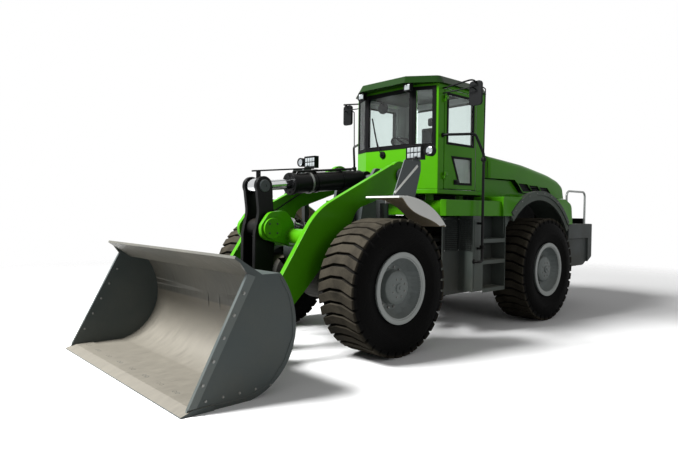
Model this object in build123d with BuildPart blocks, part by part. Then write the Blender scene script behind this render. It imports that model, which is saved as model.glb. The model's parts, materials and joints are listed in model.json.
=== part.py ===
from build123d import *
import os
from math import atan2, cos, degrees, hypot, radians, sin

os.makedirs("parts", exist_ok=True)

# Driving dimensions in mm. Local x runs forward from the articulation hinge, which stands at HINGE_X.
HINGE_X = -228.0
WHEELBASE = 3400.0
TRACK = 2186.0
AXLE_H = 785.0
FRONT_X = WHEELBASE / 2
REAR_X = -WHEELBASE / 2

# Running clearances.
PIN_GAP = 0.3
SIDE_GAP = 8.0
DOOR_GAP = 12.0

# Tyres and rims. The tyre stands out from its beads to the tips of the lugs.
TYRE_R = 785.0
TYRE_W = 585.0
BEAD_R = 372.0
BEAD_W = 464.0
FLANGE_R = 400.0
FLANGE_T = 26.0
BARREL_R = 340.0
DISC_A = 60.0
DISC_T = 40.0
HUB_R = 200.0
HUB_A = 225.0
SPINDLE_R = 90.0
SPINDLE_A = 92.0

# Front and rear frame.
TOWER_Y = 250.0
TOWER_T = 50.0
REAR_PLATE_Y = 400.0
REAR_PLATE_T = 40.0
EYE_R = 140.0
HINGE_PIN_R = 60.0
HINGE_T = 50.0
UPPER_HINGE_Z = 1150.0
LOWER_HINGE_Z = 650.0

# Loader linkage pins in the side view: x forward from the hinge, z up.
BOOM_PIN = (907.0, 2117.0)
BUCKET_PIN = (3040.0, 390.0)
CRANK_PIN = (2700.0, 1440.0)
TILT_EYE = (2730.0, 1930.0)
TILT_BASE = (994.0, 2092.0)
CRANK_EYE = (2750.0, 580.0)
LINK_PIN = (3140.0, 670.0)
LIFT_BASE = (760.0, 1130.0)
LIFT_EYE = (1950.0, 1480.0)

# Boom arms, lift cylinders and crank plates across the machine.
ARM_Y = 545.0
ARM_T = 70.0
LIFT_Y = 400.0
LIFT_R = 78.0
CRANK_Y = 95.0
CRANK_T = 55.0
TILT_R = 125.0
EAR_Y = 200.0
EAR_T = 55.0

# Steering cylinders in the plan: base on the rear frame, eye on the front frame.
STEER_BASE = (-850.0, 260.0)
STEER_EYE = (0.0, 260.0)
STEER_Z = 930.0
STEER_R = 52.0

# Hood hinge in the side view.
HOOD_PIN = (-865.0, 2450.0)

# Bucket.
BUCKET_HALF = 1457.0
BUCKET_SIDE_T = 36.0
BUCKET_SKIN = 34.0
EDGE_X = 4416.0
TAIL_X = REAR_X - 1700

# Cab, deck and body.
DECK_BOTTOM = 1600.0
DECK_TOP = 1810.0
DECK_HALF = 1165.0
CAB_BOTTOM = 1900.0
CAB_FLOOR_T = 60.0
CAB_TOP = 3400.0
CAB_HALF = 780.0
WALL = 60.0
ROOF_TOP = CAB_TOP + 105
DOOR_FRONT = 190.0
DOOR_REAR = -555.0
HINGE_DOOR_Y = 800.0
BOX_Y = 950.0
STEP_Y = DECK_HALF + 5
FENDER_Y = DECK_HALF + 35
COUNTER_HALF = DECK_HALF + 5
HOOD_HALF = 780.0
HOOD_SKIN = 25.0


def side(y):
    """Upright plane at y; its local x is forward, its local y is up and it faces -Y."""
    return Plane((HINGE_X, y, 0), x_dir=(1, 0, 0), z_dir=(0, -1, 0))


def level(z):
    """Level plane at z, with local x forward from the hinge."""
    return Plane((HINGE_X, 0, z))


def block(x, y, z, mode=Mode.ADD):
    """Box between two local x, two y and two z values."""
    with Locations((HINGE_X + (x[0] + x[1]) / 2, (y[0] + y[1]) / 2, (z[0] + z[1]) / 2)):
        Box(x[1] - x[0], y[1] - y[0], z[1] - z[0], mode=mode)


def bar(at, radius, y, mode=Mode.ADD):
    """Round bar across the machine at a side-view point, between two y values."""
    with Locations((HINGE_X + at[0], (y[0] + y[1]) / 2, at[1])):
        Cylinder(radius, y[1] - y[0], rotation=(90, 0, 0), mode=mode)


def post(at, radius, z, mode=Mode.ADD):
    """Upright round bar at a plan point, between two z values."""
    with Locations((HINGE_X + at[0], at[1], (z[0] + z[1]) / 2)):
        Cylinder(radius, z[1] - z[0], mode=mode)


def rod(start, end, radius, y, mode=Mode.ADD):
    """Round bar in a side-view plane at y from one point to another."""
    length = hypot(end[0] - start[0], end[1] - start[1])
    turn = degrees(atan2(end[0] - start[0], end[1] - start[1]))
    with Locations((HINGE_X + (start[0] + end[0]) / 2, y, (start[1] + end[1]) / 2)):
        Cylinder(radius, length, rotation=(0, turn, 0), mode=mode)


def along(start, end, share):
    """Point at a share of the way from start to end."""
    return (start[0] + share * (end[0] - start[0]), start[1] + share * (end[1] - start[1]))


# Tyres: a carcass with as many sides as lugs, whose bead seats on the rim. Each lug is a bar across the
# tread that rises to a flat crown in the middle, parted from the next by a narrow groove.
TYRE_NAMES = ["tyre_front_left", "tyre_front_right", "tyre_rear_left", "tyre_rear_right"]
RIM_NAMES = ["rim_front_left", "rim_front_right", "rim_rear_left", "rim_rear_right"]
WHEEL_AT = [(FRONT_X, 1), (FRONT_X, -1), (REAR_X, 1), (REAR_X, -1)]
SIDE_A = TYRE_W / 2
LUGS = 36
LUG_W = 102.0
LUG_RISE = 62.0
LUG_HALF = 265.0
LUG_DEPTH = 120.0
CARCASS_R = TYRE_R - 38
LUG_LOW = -(LUG_W + LUG_RISE) / 2
LUG_TOP = (TYRE_R**2 - LUG_LOW**2) ** 0.5
CARCASS = [
    (-SIDE_A, 600),
    (-SIDE_A + 14, 690),
    (-SIDE_A + 60, CARCASS_R),
    (SIDE_A - 60, CARCASS_R),
    (SIDE_A - 14, 690),
    (SIDE_A, 600),
]
LUG_PLAN = [
    (-LUG_HALF, LUG_LOW),
    (-LUG_HALF / 3, LUG_LOW + LUG_RISE),
    (LUG_HALF / 3, LUG_LOW + LUG_RISE),
    (LUG_HALF, LUG_LOW),
    (LUG_HALF, LUG_LOW + LUG_W),
    (LUG_HALF / 3, LUG_LOW + LUG_RISE + LUG_W),
    (-LUG_HALF / 3, LUG_LOW + LUG_RISE + LUG_W),
    (-LUG_HALF, LUG_LOW + LUG_W),
]
LUG_TURNS = [radians(360 * lug / LUGS - 90) - atan2(-LUG_LOW, LUG_TOP) for lug in range(LUGS)]
lug_planes = [
    Plane((LUG_TOP * cos(turn), 0, LUG_TOP * sin(turn)), x_dir=(0, 1, 0), z_dir=(cos(turn), 0, sin(turn)))
    for turn in LUG_TURNS
]
with BuildPart() as tyre:
    for tyre_a, tyre_r in CARCASS:
        with BuildSketch(Plane((0, tyre_a, 0), x_dir=(1, 0, 0), z_dir=(0, -1, 0))):
            RegularPolygon(tyre_r, LUGS)
    loft(ruled=True)
    for bead_hand in (1, -1):
        for tyre_a, tyre_r in ((bead_hand * SIDE_A, 545), (bead_hand * BEAD_W / 2, FLANGE_R + 6)):
            with BuildSketch(Plane((0, tyre_a, 0), x_dir=(1, 0, 0), z_dir=(0, -1, 0))):
                RegularPolygon(tyre_r, LUGS)
        loft(ruled=True, mode=Mode.SUBTRACT)
    Cylinder(BEAD_R, TYRE_W, rotation=(90, 0, 0), mode=Mode.SUBTRACT)
    with BuildSketch(*lug_planes):
        Polygon(*LUG_PLAN, align=None)
    extrude(amount=-LUG_DEPTH)
for tyre_name, (wheel_x, hand) in zip(TYRE_NAMES, WHEEL_AT):
    placed_tyre = Pos(HINGE_X + wheel_x, hand * TRACK / 2, AXLE_H) * tyre.part
    placed_tyre.label = tyre_name
    export_step(placed_tyre, f"parts/{tyre_name}.step")

# Rims: barrel with two flanges, a dished disc and the hub of the planetary drive.
for rim_name, (wheel_x, hand) in zip(RIM_NAMES, WHEEL_AT):
    wheel_plane = Plane((HINGE_X + wheel_x, hand * TRACK / 2, AXLE_H), x_dir=(0, hand, 0), z_dir=(1, 0, 0))
    flange_a = BEAD_W / 2 + FLANGE_T
    with BuildPart() as rim:
        with BuildSketch(wheel_plane):
            with BuildLine():
                Polyline(
                    (SPINDLE_A + 24, 0),
                    (SPINDLE_A + 24, SPINDLE_R + PIN_GAP),
                    (DISC_A, SPINDLE_R + PIN_GAP),
                    (DISC_A, BARREL_R),
                    (-flange_a, BARREL_R + 20),
                    (-flange_a, FLANGE_R),
                    (-BEAD_W / 2, FLANGE_R),
                    (-BEAD_W / 2, BEAD_R),
                    (BEAD_W / 2, BEAD_R),
                    (BEAD_W / 2, FLANGE_R),
                    (flange_a, FLANGE_R),
                    (flange_a, BARREL_R + 20),
                    (DISC_A + DISC_T + 40, BARREL_R - 30),
                    (DISC_A + DISC_T, HUB_R + 60),
                    (DISC_A + DISC_T, HUB_R),
                    (HUB_A - 30, HUB_R - 10),
                    (HUB_A, HUB_R - 60),
                    (HUB_A, 0),
                    close=True,
                )
            make_face()
        revolve(axis=Axis(wheel_plane.origin, wheel_plane.x_dir))
    rim.part.label = rim_name
    export_step(rim.part, f"parts/{rim_name}.step")

# Axles: a round housing with the final drives at its ends and two pads that the frame plates rest on.
PAD_TOP = 1040.0
BRAKE_R = 250.0
TUBE_R = 140.0
HOUSING_END = TRACK / 2 + 40
SHAFT_Z = 870.0
NOSE_X = 330.0
NOSE_R = 75.0
SHAFT_R = 48.0
AXLE_OUTLINE = [
    (-230, 0),
    (-230, 250),
    (-150, 270),
    (150, 270),
    (230, 250),
    (430, TUBE_R),
    (660, TUBE_R),
    (690, BRAKE_R),
    (HOUSING_END - 40, BRAKE_R),
    (HOUSING_END, BRAKE_R - 60),
    (HOUSING_END, SPINDLE_R),
    (TRACK / 2 + SPINDLE_A, SPINDLE_R),
    (TRACK / 2 + SPINDLE_A, 0),
]
front_axle_plane = Plane((HINGE_X + FRONT_X, 0, AXLE_H), x_dir=(0, 1, 0), z_dir=(1, 0, 0))
with BuildPart() as front_axle:
    with BuildSketch(front_axle_plane):
        Polygon(*AXLE_OUTLINE, align=None)
    revolve(axis=Axis(front_axle_plane.origin, (0, 1, 0)))
    block((FRONT_X - 140, FRONT_X + 140), (TOWER_Y - 30, TOWER_Y + TOWER_T + 30), (AXLE_H, PAD_TOP))
    mirror(about=Plane.XZ)
    rod((FRONT_X - NOSE_X, SHAFT_Z), (FRONT_X - 150, SHAFT_Z), NOSE_R, 0)
front_axle.part.label = "front_axle"
export_step(front_axle.part, "parts/front_axle.step")

rear_axle_plane = Plane((HINGE_X + REAR_X, 0, AXLE_H), x_dir=(0, 1, 0), z_dir=(1, 0, 0))
with BuildPart() as rear_axle:
    with BuildSketch(rear_axle_plane):
        Polygon(*AXLE_OUTLINE, align=None)
    revolve(axis=Axis(rear_axle_plane.origin, (0, 1, 0)))
    pad_y = (REAR_PLATE_Y - 20, REAR_PLATE_Y + REAR_PLATE_T + 20)
    block((REAR_X - 140, REAR_X + 140), pad_y, (AXLE_H, PAD_TOP))
    mirror(about=Plane.XZ)
    rod((REAR_X + NOSE_X, SHAFT_Z), (REAR_X + 150, SHAFT_Z), NOSE_R, 0)
rear_axle.part.label = "rear_axle"
export_step(rear_axle.part, "parts/rear_axle.step")

# Front frame: two tower plates, a bulkhead with the hinge tongues, the boom pins, the cylinder pins and
# steering lugs.
TOWER = [
    (330, 600),
    (330, 1270),
    (640, 1270),
    (770, 1420),
    (800, 2200),
    (1040, 2230),
    (1240, 1950),
    (1330, 1450),
    (2120, 1300),
    (2120, PAD_TOP),
    (1300, PAD_TOP),
    (900, 820),
    (600, 600),
]
TOWER_ROUND = [20, 20, 60, 60, 70, 70, 250, 200, 60, 20, 100, 100, 60]
BULKHEAD = (330.0, 380.0)
TOWER_OUT = TOWER_Y + TOWER_T
with BuildPart() as front_frame:
    with BuildSketch(side(TOWER_OUT)):
        with BuildLine():
            FilletPolyline(*TOWER, radius=TOWER_ROUND, close=True)
        make_face()
    extrude(amount=TOWER_T)
    bar(BOOM_PIN, 110, (TOWER_Y, ARM_Y - SIDE_GAP))
    bar(BOOM_PIN, 65, (TOWER_Y, ARM_Y + ARM_T + SIDE_GAP + 30))
    bar(BOOM_PIN, 95, (ARM_Y + ARM_T + SIDE_GAP, ARM_Y + ARM_T + SIDE_GAP + 30))
    bar(LIFT_BASE, 80, (TOWER_Y, LIFT_Y - LIFT_R - SIDE_GAP))
    bar(LIFT_BASE, 45, (TOWER_Y, LIFT_Y + LIFT_R + SIDE_GAP + 20))
    bar(LIFT_BASE, 70, (LIFT_Y + LIFT_R + SIDE_GAP, LIFT_Y + LIFT_R + SIDE_GAP + 20))
    for lug_z in (STEER_Z - 50, STEER_Z + 25):
        with BuildSketch(level(lug_z)):
            Polygon((BULKHEAD[1], 190), (BULKHEAD[1], 300), (0, 315), (0, 205), align=None)
            with Locations(STEER_EYE):
                Circle(55)
        extrude(amount=25)
    mirror(about=Plane.XZ)
    bar(TILT_BASE, 55, (-TOWER_Y - 5, TOWER_Y + 5))
    block(BULKHEAD, (-TOWER_OUT, TOWER_OUT), (600, 1270))
    rod((BULKHEAD[0] - 10, SHAFT_Z), (BULKHEAD[1] + 10, SHAFT_Z), SHAFT_R + 40, 0, mode=Mode.SUBTRACT)
    block((2080, 2120), (-TOWER_Y, TOWER_Y), (PAD_TOP, 1305))
    block((860, 900), (-TOWER_Y, TOWER_Y), (1250, 1900))
    for tongue_z in (LOWER_HINGE_Z, UPPER_HINGE_Z):
        with BuildSketch(level(tongue_z)):
            Polygon((0, EYE_R), (BULKHEAD[1], 280), (BULKHEAD[1], -280), (0, -EYE_R), align=None)
            Circle(EYE_R)
            Circle(HINGE_PIN_R + PIN_GAP, mode=Mode.SUBTRACT)
        extrude(amount=HINGE_T)
front_frame.part.label = "front_frame"
export_step(front_frame.part, "parts/front_frame.step")

# Drive shafts: the rear one ends in a ball at the hinge, the front one in a flange facing it.
with BuildPart() as front_shaft:
    rod((140, SHAFT_Z), (FRONT_X - NOSE_X, SHAFT_Z), SHAFT_R, 0)
    rod((140, SHAFT_Z), (190, SHAFT_Z), 85, 0)
front_shaft.part.label = "front_shaft"
export_step(front_shaft.part, "parts/front_shaft.step")
with BuildPart() as rear_shaft:
    rod((-140, SHAFT_Z), (REAR_X + NOSE_X, SHAFT_Z), SHAFT_R, 0)
    rod((-190, SHAFT_Z), (-140, SHAFT_Z), 85, 0)
    rod((-140, SHAFT_Z), (0, SHAFT_Z), 40, 0)
    with Locations((HINGE_X, 0, SHAFT_Z)):
        Sphere(70)
rear_shaft.part.label = "rear_shaft"
export_step(rear_shaft.part, "parts/rear_shaft.step")

# Rear frame: side plates, double hinge plates with their pins, steering pins, cross plate and deck posts.
REAR_PLATE = [
    (-330, 560),
    (-330, 1290),
    (TAIL_X, 1290),
    (TAIL_X, 800),
    (REAR_X - 1000, 800),
    (REAR_X - 600, PAD_TOP),
    (REAR_X + 600, PAD_TOP),
    (-900, 560),
]
REAR_OUT = REAR_PLATE_Y + REAR_PLATE_T
DECK_SKIN = 20.0
LEAF_GAP = 6.0
LEAF = [
    (0, EYE_R),
    (0, -EYE_R),
    (-330, -REAR_OUT),
    (-980, -REAR_OUT),
    (-980, REAR_OUT),
    (-330, REAR_OUT),
]
with BuildPart() as rear_frame:
    with BuildSketch(side(REAR_OUT)):
        Polygon(*REAR_PLATE, align=None)
    extrude(amount=REAR_PLATE_T)
    for post_x in (-420, -560):
        block((post_x - 40, post_x + 40), (REAR_PLATE_Y, REAR_OUT), (1290, DECK_TOP - DECK_SKIN))
    block((-875, -850), (REAR_PLATE_Y, REAR_OUT), (1290, 2465))
    bar(HOOD_PIN, 16, (REAR_PLATE_Y, 500))
    mirror(about=Plane.XZ)
    block((TAIL_X, TAIL_X + 50), (-REAR_PLATE_Y, REAR_PLATE_Y), (800, 1290))
    block((REAR_X - 700, REAR_X - 650), (-REAR_PLATE_Y, REAR_PLATE_Y), (1010, 1160))
    for tongue_z in (LOWER_HINGE_Z, UPPER_HINGE_Z):
        for leaf_z in (tongue_z - HINGE_T - LEAF_GAP, tongue_z + HINGE_T + LEAF_GAP):
            with BuildSketch(level(leaf_z)):
                Polygon(*LEAF, align=None)
                Circle(EYE_R)
            extrude(amount=HINGE_T)
        post((0, 0), HINGE_PIN_R, (tongue_z - HINGE_T - LEAF_GAP, tongue_z + 2 * HINGE_T + LEAF_GAP))
    for pin_hand in (1, -1):
        post(
            (STEER_BASE[0], pin_hand * STEER_BASE[1]),
            32,
            (LOWER_HINGE_Z + HINGE_T, UPPER_HINGE_Z - LEAF_GAP),
        )
rear_frame.part.label = "rear_frame"
export_step(rear_frame.part, "parts/rear_frame.step")

# Steering cylinders: barrels pinned on the rear frame, rods whose eyes lie between the front frame's lugs.
BARREL_END = STEER_BASE[0] + 520
STEER_NAMES = [("steer_barrel_left", "steer_rod_left", 1), ("steer_barrel_right", "steer_rod_right", -1)]
for barrel_name, rod_name, hand in STEER_NAMES:
    steer_y = hand * STEER_BASE[1]
    with BuildPart() as steer_barrel:
        post((STEER_BASE[0], steer_y), 60, (STEER_Z - 45, STEER_Z + 45))
        rod((STEER_BASE[0], STEER_Z), (BARREL_END, STEER_Z), STEER_R, steer_y)
        post((STEER_BASE[0], steer_y), 32 + PIN_GAP, (STEER_Z - 60, STEER_Z + 60), mode=Mode.SUBTRACT)
        bore = (STEER_BASE[0] + 80, STEER_Z)
        rod(bore, (BARREL_END + 5, STEER_Z), 28 + PIN_GAP, steer_y, mode=Mode.SUBTRACT)
    steer_barrel.part.label = barrel_name
    export_step(steer_barrel.part, f"parts/{barrel_name}.step")
    with BuildPart() as steer_rod:
        post((STEER_EYE[0], hand * STEER_EYE[1]), 50, (STEER_Z - 17, STEER_Z + 17))
        rod((BARREL_END - 200, STEER_Z), (STEER_EYE[0] - 30, STEER_Z), 28, steer_y)
        for flat_z in ((STEER_Z + 17, STEER_Z + 60), (STEER_Z - 60, STEER_Z - 17)):
            flat_x = (STEER_EYE[0] - 90, STEER_EYE[0] + 20)
            block(flat_x, (steer_y - 60, steer_y + 60), flat_z, mode=Mode.SUBTRACT)
    steer_rod.part.label = rod_name
    export_step(steer_rod.part, f"parts/{rod_name}.step")

# Boom: two arms cut from plate, joined by a cross tube that carries the crank's ears.
BOOM_OUTLINE = [
    (1020, 2275),
    (2330, 1655),
    (3160, 420),
    (2925, 345),
    (2480, 755),
    (1795, 1468),
    (1690, 1675),
    (850, 1945),
]
BOOM_ROUND = [60, 900, 40, 40, 150, 500, 220, 60]
CRANK_EAR = [
    (CRANK_PIN[0] - 325, CRANK_PIN[1] - 230),
    (CRANK_PIN[0] - 325, CRANK_PIN[1] + 60),
    (CRANK_PIN[0] - 210, CRANK_PIN[1] + 215),
    (CRANK_PIN[0] + 30, CRANK_PIN[1] + 185),
    (CRANK_PIN[0] + 150, CRANK_PIN[1] + 30),
    (CRANK_PIN[0] + 130, CRANK_PIN[1] - 115),
]
CRANK_EAR_ROUND = [30, 60, 150, 110, 110, 110]
CROSS_TUBE = (2395.0, 1330.0)
CROSS_R = 105.0
ARM_OUT = ARM_Y + ARM_T
EAR_OUT = EAR_Y + EAR_T
with BuildPart() as boom:
    with BuildSketch(side(ARM_OUT)):
        with BuildLine():
            FilletPolyline(*BOOM_OUTLINE, radius=BOOM_ROUND, close=True)
        make_face()
        with Locations(BOOM_PIN):
            Circle(190)
        with Locations(BUCKET_PIN):
            Circle(125)
        with Locations(BOOM_PIN):
            Circle(65 + PIN_GAP, mode=Mode.SUBTRACT)
        with Locations(BUCKET_PIN):
            Circle(55 + PIN_GAP, mode=Mode.SUBTRACT)
    extrude(amount=ARM_T)
    bar(LIFT_EYE, 80, (LIFT_Y + 50 + SIDE_GAP, ARM_OUT))
    mirror(about=Plane.XZ)
    bar(CROSS_TUBE, CROSS_R, (-ARM_Y - 5, ARM_Y + 5))
    for ear_side in (EAR_OUT, -EAR_Y):
        with BuildSketch(side(ear_side)):
            with BuildLine():
                FilletPolyline(*CRANK_EAR, radius=CRANK_EAR_ROUND, close=True)
            make_face()
            with Locations(CRANK_PIN):
                Circle(135)
            with Locations(CRANK_PIN):
                Circle(58 + PIN_GAP, mode=Mode.SUBTRACT)
        extrude(amount=EAR_T)
boom.part.label = "boom"
export_step(boom.part, "parts/boom.step")

# Crank pivot pin with a round head at each end, carried in the boom's ears.
HEAD_T = 30.0
with BuildPart() as crank_pin:
    bar(CRANK_PIN, 58, (-EAR_OUT - SIDE_GAP - 5, EAR_OUT + SIDE_GAP + 5))
    bar(CRANK_PIN, 120, (EAR_OUT + SIDE_GAP, EAR_OUT + SIDE_GAP + HEAD_T))
    mirror(about=Plane.XZ)
crank_pin.part.label = "crank_pin"
export_step(crank_pin.part, "parts/crank_pin.step")

# Bell crank: twin plates on a tube around the pivot pin, with pin stubs for the tilt rod and the link.
CRANK_OUT = CRANK_Y + CRANK_T
CRANK_OUTLINE = [
    (TILT_EYE[0] + 112, TILT_EYE[1] + 60),
    (TILT_EYE[0] + 66, TILT_EYE[1] - 300),
    (CRANK_PIN[0] + 155, CRANK_PIN[1] - 60),
    (CRANK_EYE[0] + 110, CRANK_EYE[1]),
    (CRANK_EYE[0] - 108, CRANK_EYE[1] - 20),
    (CRANK_PIN[0] - 135, CRANK_PIN[1] - 40),
    (CRANK_PIN[0] - 95, CRANK_PIN[1] + 290),
    (TILT_EYE[0] - 112, TILT_EYE[1] + 50),
]
CRANK_ROUND = [60, 300, 250, 60, 60, 300, 300, 60]
with BuildPart() as bell_crank:
    for plate_side in (CRANK_OUT, -CRANK_Y):
        with BuildSketch(side(plate_side)):
            with BuildLine():
                FilletPolyline(*CRANK_OUTLINE, radius=CRANK_ROUND, close=True)
            make_face()
            with Locations(TILT_EYE):
                Circle(112)
            with Locations(CRANK_EYE):
                Circle(110)
            with Locations(CRANK_PIN):
                Circle(140)
            with Locations(CRANK_PIN):
                Circle(58 + PIN_GAP, mode=Mode.SUBTRACT)
        extrude(amount=CRANK_T)
    bar(CRANK_PIN, 110, (-CRANK_Y, CRANK_Y))
    bar(CRANK_PIN, 58 + PIN_GAP, (-CRANK_OUT, CRANK_OUT), mode=Mode.SUBTRACT)
bell_crank.part.label = "bell_crank"
export_step(bell_crank.part, "parts/bell_crank.step")

# Bucket link: a bar from the bucket's upper pin back to the crank's lower eye.
LINK_HALF = CRANK_Y - SIDE_GAP - 4
with BuildPart() as bucket_link:
    rod(CRANK_EYE, LINK_PIN, 55, 0)
    bar(CRANK_EYE, 82, (-LINK_HALF, LINK_HALF))
    bar(LINK_PIN, 82, (-LINK_HALF, LINK_HALF))
    bar(LINK_PIN, 45 + PIN_GAP, (-LINK_HALF, LINK_HALF), mode=Mode.SUBTRACT)
bucket_link.part.label = "bucket_link"
export_step(bucket_link.part, "parts/bucket_link.step")

# Upper bucket pin with its heads, carried in the bucket's middle ears.
with BuildPart() as link_pin:
    bar(LINK_PIN, 45, (-CRANK_OUT - SIDE_GAP - 5, CRANK_OUT + SIDE_GAP + 5))
    bar(LINK_PIN, 85, (CRANK_OUT + SIDE_GAP, CRANK_OUT + SIDE_GAP + HEAD_T))
    mirror(about=Plane.XZ)
link_pin.part.label = "link_pin"
export_step(link_pin.part, "parts/link_pin.step")

# Lower bucket pins with their heads, one at each arm's tip.
INNER_EAR = (ARM_Y - SIDE_GAP - 50, ARM_Y - SIDE_GAP)
OUTER_EAR = (ARM_OUT + SIDE_GAP, ARM_OUT + SIDE_GAP + 50)
with BuildPart() as bucket_pins:
    bar(BUCKET_PIN, 55, (INNER_EAR[0] - SIDE_GAP - 5, OUTER_EAR[1] + SIDE_GAP + 5))
    bar(BUCKET_PIN, 110, (INNER_EAR[0] - SIDE_GAP - HEAD_T, INNER_EAR[0] - SIDE_GAP))
    bar(BUCKET_PIN, 110, (OUTER_EAR[1] + SIDE_GAP, OUTER_EAR[1] + SIDE_GAP + HEAD_T))
    mirror(about=Plane.XZ)
bucket_pins.part.label = "bucket_pins"
export_step(bucket_pins.part, "parts/bucket_pins.step")

# Bucket: a bent shell with a spill guard along its top, ears on its back, side plates with wear strips
# along their front edges and a cutting edge with a heel plate behind it.
STRIP_T = 12.0
PLATE_OUT = BUCKET_HALF - STRIP_T
STRIP_W = 75.0
with BuildPart() as bucket:
    with BuildSketch(side(PLATE_OUT)):
        with BuildLine():
            floor_line = Polyline((EDGE_X - 240, 0), (3760, 0))
            heel = ThreePointArc(floor_line @ 1, (3420, 190), (3267, 563))
            back = ThreePointArc(heel @ 1, (3305, 830), (3446, 1085))
            crown = Polyline(
                back @ 1,
                (3645, 1086),
                (3916, 1259),
                (3925, 1236),
                (3660, 1086 - BUCKET_SKIN),
                (3468, 1052),
            )
            inner_back = ThreePointArc(crown @ 1, (3340, 820), (3302, 565))
            inner_heel = ThreePointArc(inner_back @ 1, (3448, 212), (3768, BUCKET_SKIN))
            Polyline(inner_heel @ 1, (EDGE_X - 240, BUCKET_SKIN), floor_line @ 0)
        make_face()
    extrude(amount=2 * PLATE_OUT)
    with BuildSketch(side(PLATE_OUT)):
        with BuildLine():
            side_low = Polyline((4360, 20), (3760, 20))
            side_heel = ThreePointArc(side_low @ 1, (3430, 200), (3280, 563))
            side_back = ThreePointArc(side_heel @ 1, (3318, 828), (3456, 1070))
            Polyline(side_back @ 1, (3650, 1070), (3900, 1240), (3798, 1103), (4352, 53), side_low @ 0)
        make_face()
    extrude(amount=BUCKET_SIDE_T - STRIP_T)
    with BuildSketch(side(BUCKET_HALF)):
        strip_top = (3798 - STRIP_W, 1103 - 0.4 * STRIP_W)
        Polygon((3798, 1103), (4352, 53), (4352 - STRIP_W, 53), strip_top, align=None)
    extrude(amount=STRIP_T + 5)
    with BuildSketch(side(BUCKET_HALF)):
        edge_back = EDGE_X - 300
        Polygon((edge_back, 0), (EDGE_X, 0), (EDGE_X, 12), (EDGE_X - 110, 46), (edge_back, 46), align=None)
    extrude(amount=BUCKET_HALF)
    for ear in (INNER_EAR, OUTER_EAR):
        with BuildSketch(side(ear[1])):
            with BuildLine():
                seat = ThreePointArc((3500, 138.5), (3375, 284), (3284.5, 564))
                pin_x = BUCKET_PIN[0]
                Polyline(seat @ 1, (3190, 600), (pin_x, 500), (pin_x, 285), (3300, 100), seat @ 0)
            make_face()
            with Locations(BUCKET_PIN):
                Circle(115)
            with Locations(BUCKET_PIN):
                Circle(55 + PIN_GAP, mode=Mode.SUBTRACT)
        extrude(amount=ear[1] - ear[0])
    with BuildSketch(side(CRANK_OUT)):
        link_x, link_z = LINK_PIN
        Polygon((3298, 480), (3330, 900), (link_x, link_z + 90), (link_x, link_z - 90), align=None)
        with Locations(LINK_PIN):
            Circle(92)
        with Locations(LINK_PIN):
            Circle(45 + PIN_GAP, mode=Mode.SUBTRACT)
    extrude(amount=CRANK_T)
    mirror(about=Plane.XZ)
bucket.part.label = "bucket"
export_step(bucket.part, "parts/bucket.step")

# Tilt cylinder: barrel pinned between the towers, rod with its eye between the crank plates.
TILT_LEN = hypot(TILT_EYE[0] - TILT_BASE[0], TILT_EYE[1] - TILT_BASE[1])
GLAND = along(TILT_BASE, TILT_EYE, 0.73)
EYE_HALF = CRANK_Y - SIDE_GAP - 4
with BuildPart() as tilt_barrel:
    bar(TILT_BASE, 105, (-95, 95))
    rod(along(TILT_BASE, TILT_EYE, 0.04), GLAND, TILT_R, 0)
    rod(along(TILT_BASE, TILT_EYE, 0.70), GLAND, TILT_R + 14, 0)
    bar(TILT_BASE, 55 + PIN_GAP, (-140, 140), mode=Mode.SUBTRACT)
    tilt_bore = along(TILT_BASE, TILT_EYE, 0.12)
    rod(tilt_bore, along(TILT_BASE, TILT_EYE, 0.75), 62 + PIN_GAP, 0, mode=Mode.SUBTRACT)
tilt_barrel.part.label = "tilt_barrel"
export_step(tilt_barrel.part, "parts/tilt_barrel.step")
with BuildPart() as tilt_rod:
    rod(along(TILT_BASE, TILT_EYE, 0.45), along(TILT_BASE, TILT_EYE, 0.97), 62, 0)
    bar(TILT_EYE, 90, (-EYE_HALF, EYE_HALF))
tilt_rod.part.label = "tilt_rod"
export_step(tilt_rod.part, "parts/tilt_rod.step")

# Lift cylinders: barrels pinned on the towers, rods whose eyes lie beside the bosses of the arms.
with BuildPart() as lift_barrels:
    bar(LIFT_BASE, 85, (LIFT_Y - LIFT_R, LIFT_Y + LIFT_R))
    rod(along(LIFT_BASE, LIFT_EYE, 0.05), along(LIFT_BASE, LIFT_EYE, 0.84), LIFT_R, LIFT_Y)
    bar(LIFT_BASE, 45 + PIN_GAP, (LIFT_Y - 90, LIFT_Y + 90), mode=Mode.SUBTRACT)
    lift_bore = along(LIFT_BASE, LIFT_EYE, 0.12)
    rod(lift_bore, along(LIFT_BASE, LIFT_EYE, 0.90), 45 + PIN_GAP, LIFT_Y, mode=Mode.SUBTRACT)
    mirror(about=Plane.XZ)
lift_barrels.part.label = "lift_barrels"
export_step(lift_barrels.part, "parts/lift_barrels.step")
with BuildPart() as lift_rods:
    rod(along(LIFT_BASE, LIFT_EYE, 0.14), along(LIFT_BASE, LIFT_EYE, 0.96), 45, LIFT_Y)
    bar(LIFT_EYE, 75, (LIFT_Y - 50, LIFT_Y + 50))
    mirror(about=Plane.XZ)
lift_rods.part.label = "lift_rods"
export_step(lift_rods.part, "parts/lift_rods.step")

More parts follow.
